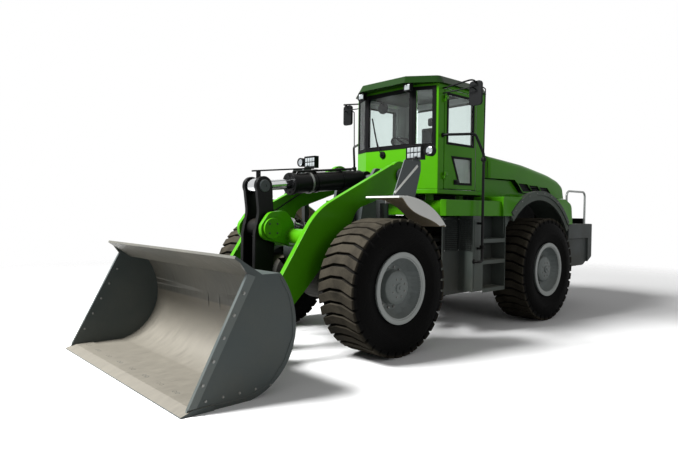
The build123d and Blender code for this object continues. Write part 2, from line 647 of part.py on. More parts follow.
# Front fenders: curved guards over the tyres with an outer skirt. Each stands on a post from its tower,
# which rises between the boom arm and the tyre.
GUARD_R = 1040.0
GUARD_T = 20.0
GUARD_IN = 860.0
GUARD_OUT = 1380.0
BRACKET_X = (FRONT_X - 330, FRONT_X - 250)
BRACKET_Y = (700.0, 770.0)
BRACKET_Z = (1100.0, 1190.0)
PLATE_Z = (1745.0, 1790.0)
with BuildPart() as front_fenders:
    with BuildSketch(side(GUARD_OUT)):
        with BuildLine():
            over = CenterArc((FRONT_X, AXLE_H), GUARD_R, 85, 53)
            under = CenterArc((FRONT_X, AXLE_H), GUARD_R - GUARD_T, 85, 53)
            Line(over @ 0, under @ 0)
            Line(over @ 1, under @ 1)
        make_face()
    extrude(amount=GUARD_OUT - GUARD_IN)
    with BuildSketch(side(GUARD_OUT)):
        with BuildLine():
            skirt = CenterArc((FRONT_X, AXLE_H), GUARD_R - 5, 86, 51)
            low_edge = Spline(
                (FRONT_X + 10, AXLE_H + 1004),
                (FRONT_X - 112, AXLE_H + 895),
                (FRONT_X - 456, AXLE_H + 774),
                (FRONT_X - 647, AXLE_H + 695),
            )
            Line(skirt @ 0, low_edge @ 0)
            Line(skirt @ 1, low_edge @ 1)
        make_face()
    extrude(amount=GUARD_T)
    block(BRACKET_X, (TOWER_OUT, BRACKET_Y[1]), BRACKET_Z)
    block(BRACKET_X, BRACKET_Y, (BRACKET_Z[0], PLATE_Z[1]))
    block(BRACKET_X, (BRACKET_Y[0], GUARD_IN + SIDE_GAP), PLATE_Z)
    mirror(about=Plane.XZ)
front_fenders.part.label = "front_fenders"
export_step(front_fenders.part, "parts/front_fenders.step")

# Headlamps: a square lamp and a round lamp on a plate that stands on the fender. Each has a sunk face for
# its lens.
LAMP_X = FRONT_X - 583
LAMP_Z = 2387.0
LENS_DEPTH = 12.0
SQUARE_Y = (885.0, 1135.0)
SQUARE_Z = (LAMP_Z - 100, LAMP_Z + 80)
LAMP_RIM = 14.0
STAND = [
    (FRONT_X - 140, 1750),
    (FRONT_X - 450, 1700),
    (LAMP_X - 57, 2150),
    (LAMP_X - 57, 2330),
    (LAMP_X, 2330),
    (LAMP_X + 83, 2270),
]
with BuildPart() as headlamps:
    with BuildSketch(side(1070)):
        with BuildLine():
            FilletPolyline(*STAND, radius=[10, 10, 80, 10, 10, 60], close=True)
        make_face()
    extrude(amount=40)
    bar((FRONT_X, AXLE_H), GUARD_R, (900, 1200), mode=Mode.SUBTRACT)
    block((LAMP_X - 80, LAMP_X), SQUARE_Y, SQUARE_Z)
    block(
        (LAMP_X - LENS_DEPTH, LAMP_X + 1),
        (SQUARE_Y[0] + LAMP_RIM, SQUARE_Y[1] - LAMP_RIM),
        (SQUARE_Z[0] + LAMP_RIM, SQUARE_Z[1] - LAMP_RIM),
        mode=Mode.SUBTRACT,
    )
    with Locations((HINGE_X + LAMP_X - 35, 1243, LAMP_Z)):
        Cylinder(68, 70, rotation=(0, 90, 0))
    with Locations((HINGE_X + LAMP_X, 1243, LAMP_Z)):
        Cylinder(68 - LAMP_RIM, 2 * LENS_DEPTH, rotation=(0, 90, 0), mode=Mode.SUBTRACT)
    block((LAMP_X - 60, LAMP_X - 20), (1130, 1200), (LAMP_Z - 20, LAMP_Z + 20))
    mirror(about=Plane.XZ)
headlamps.part.label = "headlamps"
export_step(headlamps.part, "parts/headlamps.step")

# Side boxes: closed energy storage cases on the rear frame's side plates. Each has a sunk panel for its
# mesh.
BOX_Z = (530.0, 1580.0)
BOX_REAR = REAR_X + 930
BOX_PLAN = [(420, BOX_Y), (410, 922), (-271, REAR_OUT), (BOX_REAR, REAR_OUT), (BOX_REAR, BOX_Y)]
MESH_X = (75.0, 395.0)
MESH_Z = (1130.0, BOX_Z[1] - 25)
with BuildPart() as side_boxes:
    with BuildSketch(level(BOX_Z[0])):
        Polygon(*BOX_PLAN, align=None)
    extrude(amount=BOX_Z[1] - BOX_Z[0])
    block(MESH_X, (BOX_Y - 10, BOX_Y + 1), MESH_Z, mode=Mode.SUBTRACT)
    mirror(about=Plane.XZ)
side_boxes.part.label = "side_boxes"
export_step(side_boxes.part, "parts/side_boxes.step")

# Steps: a plain front case, treads with turned-down rims, and a panel behind them that clears the rear
# tyre.
STEP_X = (BOX_REAR, 50.0)
TREAD_X = -200.0
STEP_LOW = 570.0
CHEEK_T = 14.0
PANEL_T = 12.0
PANEL_R = 975.0
with BuildPart() as steps:
    block((TREAD_X, STEP_X[1]), (BOX_Y, STEP_Y), (STEP_LOW, DECK_BOTTOM))
    block((STEP_X[0], STEP_X[0] + CHEEK_T), (BOX_Y, STEP_Y), (STEP_LOW, DECK_BOTTOM))
    for tread_z in (STEP_LOW, 960, 1255):
        block((STEP_X[0], TREAD_X), (BOX_Y, STEP_Y), (tread_z, tread_z + 24))
        block((STEP_X[0], TREAD_X), (STEP_Y - 10, STEP_Y), (tread_z - 30, tread_z + 24))
    with BuildSketch(side(BOX_Y + PANEL_T)):
        with Locations(((STEP_X[0] - 220), 1340)):
            Rectangle(440 + CHEEK_T, 480)
        with Locations((REAR_X, AXLE_H)):
            Circle(PANEL_R, mode=Mode.SUBTRACT)
    extrude(amount=PANEL_T)
    mirror(about=Plane.XZ)
steps.part.label = "steps"
export_step(steps.part, "parts/steps.step")

# Deck: a folded platform on the frame's posts; its front is cut back so that the front frame can turn
# past it.
DECK_REAR = REAR_X + 1050
DECK_PLAN = [(640, DECK_HALF), (690, 1110), (250, 790), (250, -790), (690, -1110), (640, -DECK_HALF)]
with BuildPart() as deck:
    with BuildSketch(level(DECK_BOTTOM)):
        Polygon(*DECK_PLAN, (DECK_REAR, -DECK_HALF), (DECK_REAR, DECK_HALF), align=None)
    extrude(amount=DECK_TOP - DECK_BOTTOM)
    with BuildSketch(level(DECK_BOTTOM)):
        Polygon(*DECK_PLAN, (DECK_REAR, -DECK_HALF), (DECK_REAR, DECK_HALF), align=None)
        offset(amount=-DECK_SKIN, mode=Mode.REPLACE)
    extrude(amount=DECK_TOP - DECK_BOTTOM - DECK_SKIN, mode=Mode.SUBTRACT)
deck.part.label = "deck"
export_step(deck.part, "parts/deck.step")

# Rear fenders: folded covers with a vault over the rear tyre, a thick lip along its outer rim and an
# inner panel that closes the side below the hood.
ARCH_R = 1140.0
ARCH_SKIN = 20.0
LIP_R = 1206.0
LIP_W = 75.0
LIP_PROUD = 18.0
FENDER_TOP = 1880.0
COUNTER_TOP = 1465.0
FENDER_IN = 700.0
FENDER_SIDE = [
    (DECK_REAR, DECK_BOTTOM),
    (DECK_REAR, FENDER_TOP),
    (REAR_X - 851, FENDER_TOP),
    (REAR_X - 1071, 1790),
    (REAR_X - 1121, COUNTER_TOP),
    (REAR_X - 800, COUNTER_TOP),
    (REAR_X + 700, DECK_BOTTOM),
]
FENDER_ROUND = [5, 30, 160, 120, 5, 5, 5]
INNER_PANEL = [
    (DECK_REAR - 200, FENDER_TOP - 20),
    (DECK_REAR - 200, 2160),
    (REAR_X + 50, 2160),
    (REAR_X - 200, 1980),
    (REAR_X - 800, FENDER_TOP + 60),
    (REAR_X - 800, FENDER_TOP - 20),
]
with BuildPart() as rear_fenders:
    with BuildSketch(side(FENDER_Y)):
        with BuildLine():
            FilletPolyline(*FENDER_SIDE, radius=FENDER_ROUND, close=True)
        make_face()
        with Locations((REAR_X, AXLE_H)):
            Circle(ARCH_R, mode=Mode.SUBTRACT)
    extrude(amount=FENDER_Y - FENDER_IN)
    with BuildSketch(side(FENDER_Y - ARCH_SKIN)):
        with BuildLine():
            FilletPolyline(*FENDER_SIDE, radius=FENDER_ROUND, close=True)
        make_face()
        with Locations((REAR_X, AXLE_H)):
            Circle(ARCH_R, mode=Mode.SUBTRACT)
        offset(amount=-ARCH_SKIN, mode=Mode.REPLACE)
    extrude(amount=FENDER_Y - FENDER_IN, mode=Mode.SUBTRACT)
    with BuildSketch(side(FENDER_Y)):
        with BuildLine():
            vault = CenterArc((REAR_X, AXLE_H), ARCH_R + ARCH_SKIN, 60, 60)
            vault_in = CenterArc((REAR_X, AXLE_H), ARCH_R, 60, 60)
            Line(vault @ 0, vault_in @ 0)
            Line(vault @ 1, vault_in @ 1)
        make_face()
    extrude(amount=FENDER_Y - FENDER_IN)
    with BuildSketch(side(FENDER_Y + LIP_PROUD)):
        with BuildLine():
            lip = CenterArc((REAR_X, AXLE_H), LIP_R, 46, 98)
            lip_in = CenterArc((REAR_X, AXLE_H), ARCH_R, 46, 98)
            Line(lip @ 0, lip_in @ 0)
            Line(lip @ 1, lip_in @ 1)
        make_face()
    extrude(amount=LIP_W)
    with BuildSketch(side(FENDER_IN + 15)):
        Polygon(*INNER_PANEL, align=None)
        with Locations((REAR_X, AXLE_H)):
            Circle(ARCH_R, mode=Mode.SUBTRACT)
    extrude(amount=25)
    mirror(about=Plane.XZ)
rear_fenders.part.label = "rear_fenders"
export_step(rear_fenders.part, "parts/rear_fenders.step")

# Counterweight: a casting over the frame's tail with cut corners, a set-back lower side and paired bolt
# holes. A lug with a bore for the towing pin stands in a pocket at its rear.
TOW_X = REAR_X - 2130
TOW_R = 35.0
TOW_LUG = (1130.0, 1170.0)
TOW_POCKET = (TOW_LUG[0] - 125, TOW_LUG[1] + 165)
COUNTER_FRONT = REAR_X - 1050
BOLT_HOLES = [
    (REAR_X - 2075, 1305),
    (REAR_X - 2145, 1305),
    (REAR_X - 2045, 1130),
    (REAR_X - 2100, 1130),
]
COUNTER_SIDE = [
    (COUNTER_FRONT, 740),
    (COUNTER_FRONT, COUNTER_TOP),
    (REAR_X - 2070, COUNTER_TOP),
    (REAR_X - 2203, 1369),
    (REAR_X - 2261, 1167),
    (REAR_X - 2180, 1005),
    (TAIL_X + 4, 740),
]
COUNTER_PLAN = [
    (COUNTER_FRONT, COUNTER_HALF),
    (REAR_X - 1960, COUNTER_HALF),
    (REAR_X - 2264, COUNTER_HALF - 260),
    (REAR_X - 2264, -COUNTER_HALF + 260),
    (REAR_X - 1960, -COUNTER_HALF),
    (COUNTER_FRONT, -COUNTER_HALF),
]
with BuildPart() as counterweight:
    with BuildSketch(side(COUNTER_HALF)):
        with BuildLine():
            FilletPolyline(*COUNTER_SIDE, radius=[10, 10, 60, 60, 60, 60, 200], close=True)
        make_face()
    extrude(amount=2 * COUNTER_HALF)
    with BuildSketch(level(COUNTER_TOP)):
        with BuildLine():
            FilletPolyline(*COUNTER_PLAN, radius=[5, 60, 60, 60, 60, 5], close=True)
        make_face()
    extrude(amount=-COUNTER_TOP, mode=Mode.INTERSECT)
    for recess_hand in (1, -1):
        recess_y = sorted((recess_hand * (COUNTER_HALF - 35), recess_hand * (COUNTER_HALF + 1)))
        block((REAR_X - 1800, COUNTER_FRONT + 1), recess_y, (700, 1215), mode=Mode.SUBTRACT)
        hole_y = sorted((recess_hand * (COUNTER_HALF - 300), recess_hand * (COUNTER_HALF + 10)))
        for hole in BOLT_HOLES:
            bar(hole, 24, hole_y, mode=Mode.SUBTRACT)
    block((TAIL_X, COUNTER_FRONT + 50), (-REAR_OUT, REAR_OUT), (700, 1290), mode=Mode.SUBTRACT)
    block((REAR_X - 2300, TOW_X + 140), (-130, 130), TOW_POCKET, mode=Mode.SUBTRACT)
    block((TOW_X - 100, TOW_X + 140), (-70, 70), TOW_LUG)
    post((TOW_X, 0), TOW_R, TOW_POCKET, mode=Mode.SUBTRACT)
counterweight.part.label = "counterweight"
export_step(counterweight.part, "parts/counterweight.step")

# Power pack: the heavy inner mass on the frame, under the hood.
PACK_X = (REAR_X - 1040, REAR_X + 800)
with BuildPart() as power_pack:
    block(PACK_X, (-560, 560), (1290, 2080))
power_pack.part.label = "power_pack"
export_step(power_pack.part, "parts/power_pack.step")

# Cooler housing: the tail of the body between the counterweight and the hood, with a slotted rear wall.
COOLER_X = (TAIL_X + 5, REAR_X - 1130)
COOLER_SKIN = 35.0
SLOT_H = 34.0
with BuildPart() as cooler_housing:
    block(COOLER_X, (-690, 690), (COUNTER_TOP, 1890))
    block(
        (COOLER_X[0] + COOLER_SKIN, COOLER_X[1] + 10),
        (-690 + COOLER_SKIN, 690 - COOLER_SKIN),
        (COUNTER_TOP + COOLER_SKIN, 1890 - COOLER_SKIN),
        mode=Mode.SUBTRACT,
    )
    for slot in range(5):
        slot_z = COUNTER_TOP + 60 + slot * 62
        slot_x = (COOLER_X[0] - 5, COOLER_X[0] + COOLER_SKIN + 5)
        block(slot_x, (-520, 520), (slot_z, slot_z + SLOT_H), mode=Mode.SUBTRACT)
cooler_housing.part.label = "cooler_housing"
export_step(cooler_housing.part, "parts/cooler_housing.step")

# Hood: one pressed cover with rounded shoulders and three slanted vents on each side. It tips up about
# two pins behind the cab.
HOOD_FRONT = -890.0
HOOD_EDGE_R = 90.0
HOOD_TOP = [
    (HOOD_FRONT, 2515),
    (REAR_X - 251, 2436),
    (REAR_X - 1097, 2315),
    (REAR_X - 1467, 2227),
    (REAR_X - 1643, 2126),
    (REAR_X - 1711, 1910),
]
HOOD_ROUND = [2500, 2500, 600, 150]
HOOD_LOW = [(REAR_X - 1510, 1904), (REAR_X - 221, 1990), (REAR_X + 35, 2174), (HOOD_FRONT, 2169)]
HOOD_IN = [
    (HOOD_FRONT - HOOD_SKIN, 2513),
    (REAR_X - 251, 2436),
    (REAR_X - 1097, 2315),
    (REAR_X - 1450, 2227),
    (REAR_X - 1615, 2126),
]
VENT = [(REAR_X - 55, 2129), (REAR_X - 339, 2124), (REAR_X - 507, 1998), (REAR_X - 217, 1989)]
VENT_STEP = (-340.0, -18.0)
with BuildPart() as hood:
    with BuildSketch(side(HOOD_HALF)):
        with BuildLine():
            hood_line = FilletPolyline(*HOOD_TOP, radius=HOOD_ROUND)
            Polyline(hood_line @ 1, *HOOD_LOW, hood_line @ 0)
        make_face()
    extrude(amount=2 * HOOD_HALF)
    shoulders = [
        edge
        for edge in hood.edges()
        if abs(abs(edge.center().Y) - HOOD_HALF) < 1 and edge.center().Z > 2200
    ]
    fillet(shoulders, HOOD_EDGE_R)
    for drop, inset in ((HOOD_SKIN, HOOD_EDGE_R), (HOOD_EDGE_R, HOOD_SKIN)):
        with BuildSketch(side(HOOD_HALF - inset)):
            Polygon(
                (HOOD_IN[0][0], 1800),
                *[(in_x, in_z - drop) for in_x, in_z in HOOD_IN],
                (REAR_X - 1711 + HOOD_SKIN, 1800),
                align=None,
            )
        extrude(amount=2 * (HOOD_HALF - inset), mode=Mode.SUBTRACT)
    for vent in range(3):
        corners = [(at[0] + vent * VENT_STEP[0], at[1] + vent * VENT_STEP[1]) for at in VENT]
        with BuildSketch(side(HOOD_HALF + 1)):
            Polygon(*corners, align=None)
        extrude(amount=2 * HOOD_HALF + 2, mode=Mode.SUBTRACT)
        for slat in (0.22, 0.48, 0.74):
            for slat_y in (HOOD_HALF - 6, -HOOD_HALF + HOOD_SKIN - 6):
                with BuildSketch(side(slat_y)):
                    Polygon(
                        along(corners[0], corners[3], slat),
                        along(corners[1], corners[2], slat),
                        along(corners[1], corners[2], slat + 0.1),
                        along(corners[0], corners[3], slat + 0.1),
                        align=None,
                    )
                extrude(amount=HOOD_SKIN - 12)
    for lug_side in (1, -1):
        bar(HOOD_PIN, 32, (lug_side * 470 - 20, lug_side * 470 + 20))
        lug_y = (lug_side * 470 - 20, lug_side * 470 + 20)
        block((HOOD_FRONT - 2, HOOD_PIN[0]), lug_y, (HOOD_PIN[1] - 32, HOOD_PIN[1] + 32))
        bar(HOOD_PIN, 16 + PIN_GAP, (lug_side * 470 - 30, lug_side * 470 + 30), mode=Mode.SUBTRACT)
hood.part.label = "hood"
export_step(hood.part, "parts/hood.step")

# Cab: floor on four mounts, walls with their windows cut, roof, glass and doors.
CAB_PLAN = [(480, 450), (330, CAB_HALF), (-780, CAB_HALF), (-780, -CAB_HALF), (330, -CAB_HALF), (480, -450)]
WALL_LOW = CAB_BOTTOM + CAB_FLOOR_T
DOOR_LOW = WALL_LOW + DOOR_GAP
DOOR_TOP = CAB_TOP - 60
SCREEN_Z = (2560.0, CAB_TOP - 60)
REAR_PANE_Z = (2620.0, CAB_TOP - 100)
KNUCKLES = (2100.0, CAB_TOP - 250)
with BuildPart() as cab_floor:
    with BuildSketch(level(CAB_BOTTOM)):
        Polygon(*CAB_PLAN, align=None)
    extrude(amount=CAB_FLOOR_T)
    for mount_x in (150, -560):
        for mount_y in (-500, 500):
            post((mount_x, mount_y), 60, (DECK_TOP, CAB_BOTTOM))
cab_floor.part.label = "cab_floor"
export_step(cab_floor.part, "parts/cab_floor.step")

corner_run = hypot(480 - 330, CAB_HALF - 450)
corner_planes = [
    Plane(
        (HINGE_X + 405, hand * (450 + CAB_HALF) / 2, sum(SCREEN_Z) / 2),
        x_dir=((330 - 480) / corner_run, hand * (CAB_HALF - 450) / corner_run, 0),
        z_dir=((CAB_HALF - 450) / corner_run, hand * (480 - 330) / corner_run, 0),
    )
    for hand in (1, -1)
]
with BuildPart() as cab_frame:
    with BuildSketch(level(WALL_LOW)):
        Polygon(*CAB_PLAN, align=None)
        offset(amount=-WALL, mode=Mode.SUBTRACT)
    extrude(amount=CAB_TOP - WALL_LOW)
    block((480 - 2 * WALL, 500), (-410, 410), SCREEN_Z, mode=Mode.SUBTRACT)
    block((-800, -700), (-600, 600), REAR_PANE_Z, mode=Mode.SUBTRACT)
    block(
        (DOOR_REAR - DOOR_GAP, DOOR_FRONT + DOOR_GAP),
        (-CAB_HALF - 10, CAB_HALF + 10),
        (WALL_LOW, DOOR_TOP + DOOR_GAP),
        mode=Mode.SUBTRACT,
    )
    for corner_plane in corner_planes:
        with BuildSketch(corner_plane):
            Rectangle(250, SCREEN_Z[1] - SCREEN_Z[0])
        extrude(amount=WALL + 20, both=True, mode=Mode.SUBTRACT)
    for knuckle_z in KNUCKLES:
        for knuckle_hand in (1, -1):
            post((DOOR_FRONT + 15, knuckle_hand * (HINGE_DOOR_Y + 6)), 16, (knuckle_z, knuckle_z + 50))
            block(
                (DOOR_FRONT + DOOR_GAP, DOOR_FRONT + 40),
                sorted((knuckle_hand * CAB_HALF, knuckle_hand * (HINGE_DOOR_Y + 14))),
                (knuckle_z, knuckle_z + 50),
            )
cab_frame.part.label = "cab_frame"
export_step(cab_frame.part, "parts/cab_frame.step")

with BuildPart() as cab_glass:
    block((480 - WALL, 480), (-410, 410), SCREEN_Z)
    block((-780, -780 + WALL), (-600, 600), REAR_PANE_Z)
    for corner_plane in corner_planes:
        with BuildSketch(corner_plane):
            Rectangle(250, SCREEN_Z[1] - SCREEN_Z[0])
        extrude(amount=-WALL)
cab_glass.part.label = "cab_glass"
export_step(cab_glass.part, "parts/cab_glass.step")

# Roof: a pressed cap whose front narrows with the windscreen, with a work lamp under each front corner.
ROOF_PLAN = [(655, 430), (350, 830), (-810, 830), (-810, -830), (350, -830), (655, -430)]
with BuildPart() as cab_roof:
    with BuildSketch(level(CAB_TOP)):
        with BuildLine():
            FilletPolyline(*ROOF_PLAN, radius=[90, 160, 110, 110, 160, 90], close=True)
        make_face()
    extrude(amount=ROOF_TOP - CAB_TOP, taper=28)
    fillet(cab_roof.edges().group_by(Axis.Z)[-1], 25)
cab_roof.part.label = "cab_roof"
export_step(cab_roof.part, "parts/cab_roof.step")

with BuildPart() as roof_lamps:
    block((540, 610), (385, 505), (CAB_TOP - 105, CAB_TOP))
    lens_z = (CAB_TOP - 105 + LAMP_RIM, CAB_TOP - LAMP_RIM)
    block((610 - LENS_DEPTH, 611), (385 + LAMP_RIM, 505 - LAMP_RIM), lens_z, mode=Mode.SUBTRACT)
    mirror(about=Plane.XZ)
roof_lamps.part.label = "roof_lamps"
export_step(roof_lamps.part, "parts/roof_lamps.step")

UPPER_PANE = [(130, 2600), (130, DOOR_TOP - 60), (-495, DOOR_TOP - 60), (-495, 2600)]
LOWER_PANE = [(17, 2420), (-440, 2420), (-450, 2050), (-157, 2050)]
for door_name, hand in (("door_left", 1), ("door_right", -1)):
    door_face = side(CAB_HALF) if hand > 0 else side(-CAB_HALF + WALL)
    with BuildPart() as door:
        leaf_y = sorted((hand * (CAB_HALF - WALL), hand * CAB_HALF))
        block((DOOR_REAR, DOOR_FRONT), leaf_y, (DOOR_LOW, DOOR_TOP))
        with BuildSketch(door_face):
            Polygon(*UPPER_PANE, align=None)
            Polygon(*LOWER_PANE, align=None)
        extrude(amount=WALL, mode=Mode.SUBTRACT)
        for knuckle_z in [low + 50 + PIN_GAP for low in KNUCKLES]:
            post((DOOR_FRONT + 15, hand * (HINGE_DOOR_Y + 6)), 16, (knuckle_z, knuckle_z + 50))
            block(
                (DOOR_FRONT - 60, DOOR_FRONT + 15),
                sorted((hand * CAB_HALF, hand * (HINGE_DOOR_Y + 6))),
                (knuckle_z, knuckle_z + 50),
            )
    door.part.label = door_name
    export_step(door.part, f"parts/{door_name}.step")
    with BuildPart() as door_glass:
        with BuildSketch(door_face):
            Polygon(*UPPER_PANE, align=None)
            Polygon(*LOWER_PANE, align=None)
        extrude(amount=WALL)
    door_glass.part.label = f"{door_name}_glass"
    export_step(door_glass.part, f"parts/{door_name}_glass.step")

# Seat: a pedestal with a cushion, a back and a headrest.
SEAT_Z = 2300.0
with BuildPart() as seat_base:
    block((-420, -80), (-190, 190), (WALL_LOW, SEAT_Z))
seat_base.part.label = "seat_base"
export_step(seat_base.part, "parts/seat_base.step")
with BuildPart() as seat_pads:
    block((-500, 20), (-250, 250), (SEAT_Z, SEAT_Z + 120))
    block((-620, -500), (-240, 240), (SEAT_Z, CAB_TOP - 420))
    block((-600, -520), (-120, 120), (CAB_TOP - 420, CAB_TOP - 260))
seat_pads.part.label = "seat_pads"
export_step(seat_pads.part, "parts/seat_pads.step")

# Console: the dash behind the windscreen with the steering column and wheel.
WHEEL_AXIS = (0, -27, 0)
with BuildPart() as console:
    with BuildSketch(side(330)):
        with BuildLine():
            FilletPolyline(
                (260, WALL_LOW),
                (240, 2400),
                (300, 2480),
                (420, 2500),
                (420, WALL_LOW),
                radius=[5, 60, 40, 20, 5],
                close=True,
            )
        make_face()
    extrude(amount=660)
    rod((300, 2300), (130, 2640), 28, 0)
    with Locations(Location((HINGE_X + 130, 0, 2640), WHEEL_AXIS)):
        Cylinder(205, 26)
        Cylinder(178, 30, mode=Mode.SUBTRACT)
        Box(370, 44, 16)
        Cylinder(48, 30)
console.part.label = "console"
export_step(console.part, "parts/console.step")

# Mirrors: round-cornered heads on bent arms from the front pillars.
MIRROR_Z = (CAB_TOP - 340, CAB_TOP - 20)
ARM_Z = CAB_TOP - 60
with BuildPart() as mirrors:
    with BuildSketch(Plane((HINGE_X + 100, 1230, sum(MIRROR_Z) / 2), x_dir=(0, 1, 0), z_dir=(1, 0, 0))):
        RectangleRounded(190, MIRROR_Z[1] - MIRROR_Z[0], 45)
    extrude(amount=42)
    fillet(mirrors.edges().filter_by_position(Axis.X, HINGE_X + 99, HINGE_X + 101), 14)
    with BuildLine() as arm_path:
        FilletPolyline(
            (HINGE_X + 240, CAB_HALF, ARM_Z),
            (HINGE_X + 240, CAB_HALF + 60, ARM_Z),
            (HINGE_X + 240, 1230, ARM_Z + 40),
            (HINGE_X + 160, 1230, ARM_Z + 40),
            (HINGE_X + 125, 1230, MIRROR_Z[1] - 40),
            radius=[30, 40, 30],
        )
    with BuildSketch(Plane(arm_path.line @ 0, z_dir=arm_path.line % 0)):
        Circle(11)
    sweep(path=arm_path.line)
    mirror(about=Plane.XZ)
mirrors.part.label = "mirrors"
export_step(mirrors.part, "parts/mirrors.step")

# Handrails: long rails from the steps to the front pillars, and bent loops on the counterweight.
RAIL_R = 18.0
RAIL_Y = STEP_Y + 80
with BuildPart() as handrails:
    with BuildLine() as rail_path:
        FilletPolyline(
            (HINGE_X + 30, STEP_Y, 985),
            (HINGE_X + 30, RAIL_Y, 985),
            (HINGE_X - 50, RAIL_Y, 985),
            (HINGE_X - 50, RAIL_Y, 2430),
            (HINGE_X + 40, RAIL_Y - 75, 2700),
            (HINGE_X + 235, CAB_HALF + 90, 2700),
            (HINGE_X + 235, CAB_HALF, 2700),
            radius=[30, 30, 90, 60, 40],
        )
    with BuildSketch(Plane(rail_path.line @ 0, z_dir=rail_path.line % 0)):
        Circle(RAIL_R)
    sweep(path=rail_path.line)
    with BuildLine() as loop_path:
        FilletPolyline(
            (HINGE_X + COUNTER_FRONT - 110, COUNTER_HALF - 100, COUNTER_TOP),
            (HINGE_X + COUNTER_FRONT - 110, COUNTER_HALF - 100, 2030),
            (HINGE_X + COUNTER_FRONT - 810, COUNTER_HALF - 100, 2030),
            (HINGE_X + COUNTER_FRONT - 810, COUNTER_HALF - 100, COUNTER_TOP),
            radius=90,
        )
    with BuildSketch(Plane(loop_path.line @ 0)):
        Circle(RAIL_R)
    sweep(path=loop_path.line)
    mirror(about=Plane.XZ)
handrails.part.label = "handrails"
export_step(handrails.part, "parts/handrails.step")

# Rear lamps: cases on the counterweight.
with BuildPart() as rear_lamps:
    lamp_y = (COUNTER_HALF - 370, COUNTER_HALF - 170)
    block((REAR_X - 2040, REAR_X - 1960), lamp_y, (COUNTER_TOP, COUNTER_TOP + 95))
    mirror(about=Plane.XZ)
rear_lamps.part.label = "rear_lamps"
export_step(rear_lamps.part, "parts/rear_lamps.step")
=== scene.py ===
import json
import math

import bpy
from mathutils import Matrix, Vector

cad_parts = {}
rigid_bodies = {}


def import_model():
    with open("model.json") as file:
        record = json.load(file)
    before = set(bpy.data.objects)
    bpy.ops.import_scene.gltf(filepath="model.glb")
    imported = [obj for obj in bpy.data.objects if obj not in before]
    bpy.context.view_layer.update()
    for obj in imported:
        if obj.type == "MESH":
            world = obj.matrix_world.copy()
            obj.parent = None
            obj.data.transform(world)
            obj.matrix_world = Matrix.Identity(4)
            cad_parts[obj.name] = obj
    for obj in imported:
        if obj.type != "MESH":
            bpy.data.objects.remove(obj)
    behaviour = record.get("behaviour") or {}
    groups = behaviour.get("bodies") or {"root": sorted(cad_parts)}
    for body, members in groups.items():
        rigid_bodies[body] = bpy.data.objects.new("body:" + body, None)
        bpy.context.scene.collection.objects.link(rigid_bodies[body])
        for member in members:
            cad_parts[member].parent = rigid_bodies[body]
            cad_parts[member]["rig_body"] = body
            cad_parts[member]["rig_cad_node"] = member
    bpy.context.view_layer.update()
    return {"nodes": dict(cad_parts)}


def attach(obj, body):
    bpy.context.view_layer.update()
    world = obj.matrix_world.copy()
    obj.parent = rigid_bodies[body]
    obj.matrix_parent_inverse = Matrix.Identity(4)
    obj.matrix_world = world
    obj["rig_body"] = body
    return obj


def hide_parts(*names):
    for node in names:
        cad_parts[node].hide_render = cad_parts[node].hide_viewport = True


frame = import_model()
nodes = frame["nodes"]

# Rear frame: two tall side plates with double hinge plates at the front, the rear axle and its drive shaft.
# Cut and welded from thick plate, sprayed dark grey, dusty towards the ground.
HINGE_X = -0.228
REAR_AXLE = -1.70
AXLE_H = 0.785
HANDS = (1, -1)
CREASE = math.radians(32)
FLAT = math.radians(0.5)
MERGE_GAP = 0.0002


def spot(x, y, z):
    """A place in the part's frame, given x forward from the articulation hinge."""
    return Vector((HINGE_X + x, y, z))


def pick(*pieces):
    """Selects these pieces alone and makes the last one active."""
    bpy.ops.object.select_all(action="DESELECT")
    for piece in pieces:
        piece.select_set(True)
        bpy.context.view_layer.objects.active = piece


def edit_all():
    """Opens the active piece for editing with all of it selected."""
    bpy.ops.object.mode_set(mode="EDIT")
    bpy.ops.mesh.select_all(action="SELECT")


def alter(piece, kind, **settings):
    """Gives a piece a modifier with these settings and applies it."""
    modifier = piece.modifiers.new(kind, kind)
    for setting, value in settings.items():
        setattr(modifier, setting, value)
    bpy.ops.object.modifier_apply(modifier=modifier.name)


def dress(node, edge, material):
    """Stands a copy of a node's solid in its place, with merged faces and rolled edges."""
    pick(nodes[node])
    bpy.ops.object.duplicate()
    piece = bpy.context.object
    piece.name = node + "_skin"
    body = piece["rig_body"]
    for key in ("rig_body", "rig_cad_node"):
        del piece[key]
    bpy.ops.object.parent_clear(type="CLEAR_KEEP_TRANSFORM")
    edit_all()
    bpy.ops.mesh.remove_doubles(threshold=MERGE_GAP)
    bpy.ops.mesh.dissolve_limited(angle_limit=FLAT)
    bpy.ops.object.mode_set(mode="OBJECT")
    bpy.ops.object.shade_smooth_by_angle(angle=CREASE)
    if edge:
        limits = {"limit_method": "ANGLE", "angle_limit": CREASE, "use_clamp_overlap": False}
        alter(piece, "BEVEL", width=edge, segments=2, harden_normals=True, **limits)
    else:
        alter(piece, "WEIGHTED_NORMAL", keep_sharp=True)
    piece.data.materials.clear()
    piece.data.materials.append(material)
    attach(piece, body)
    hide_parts(node)
    return piece


def srgb(red, green, blue):
    """Linear colour of a shade given as 0 to 255 on a screen."""
    shares = [c / 255 for c in (red, green, blue)]
    return [c / 12.92 if c <= 0.04045 else ((c + 0.055) / 1.055) ** 2.4 for c in shares] + [1.0]


def mixed(tree, share, first, second):
    """Colour that goes from the first to the second as the share rises; either may be a plain colour."""
    mix = tree.nodes.new("ShaderNodeMix")
    mix.data_type = "RGBA"
    tree.links.new(share, mix.inputs["Factor"])
    for end, colour in (("A", first), ("B", second)):
        if isinstance(colour, list):
            mix.inputs[end].default_value = colour
        else:
            tree.links.new(colour, mix.inputs[end])
    return mix.outputs["Result"]


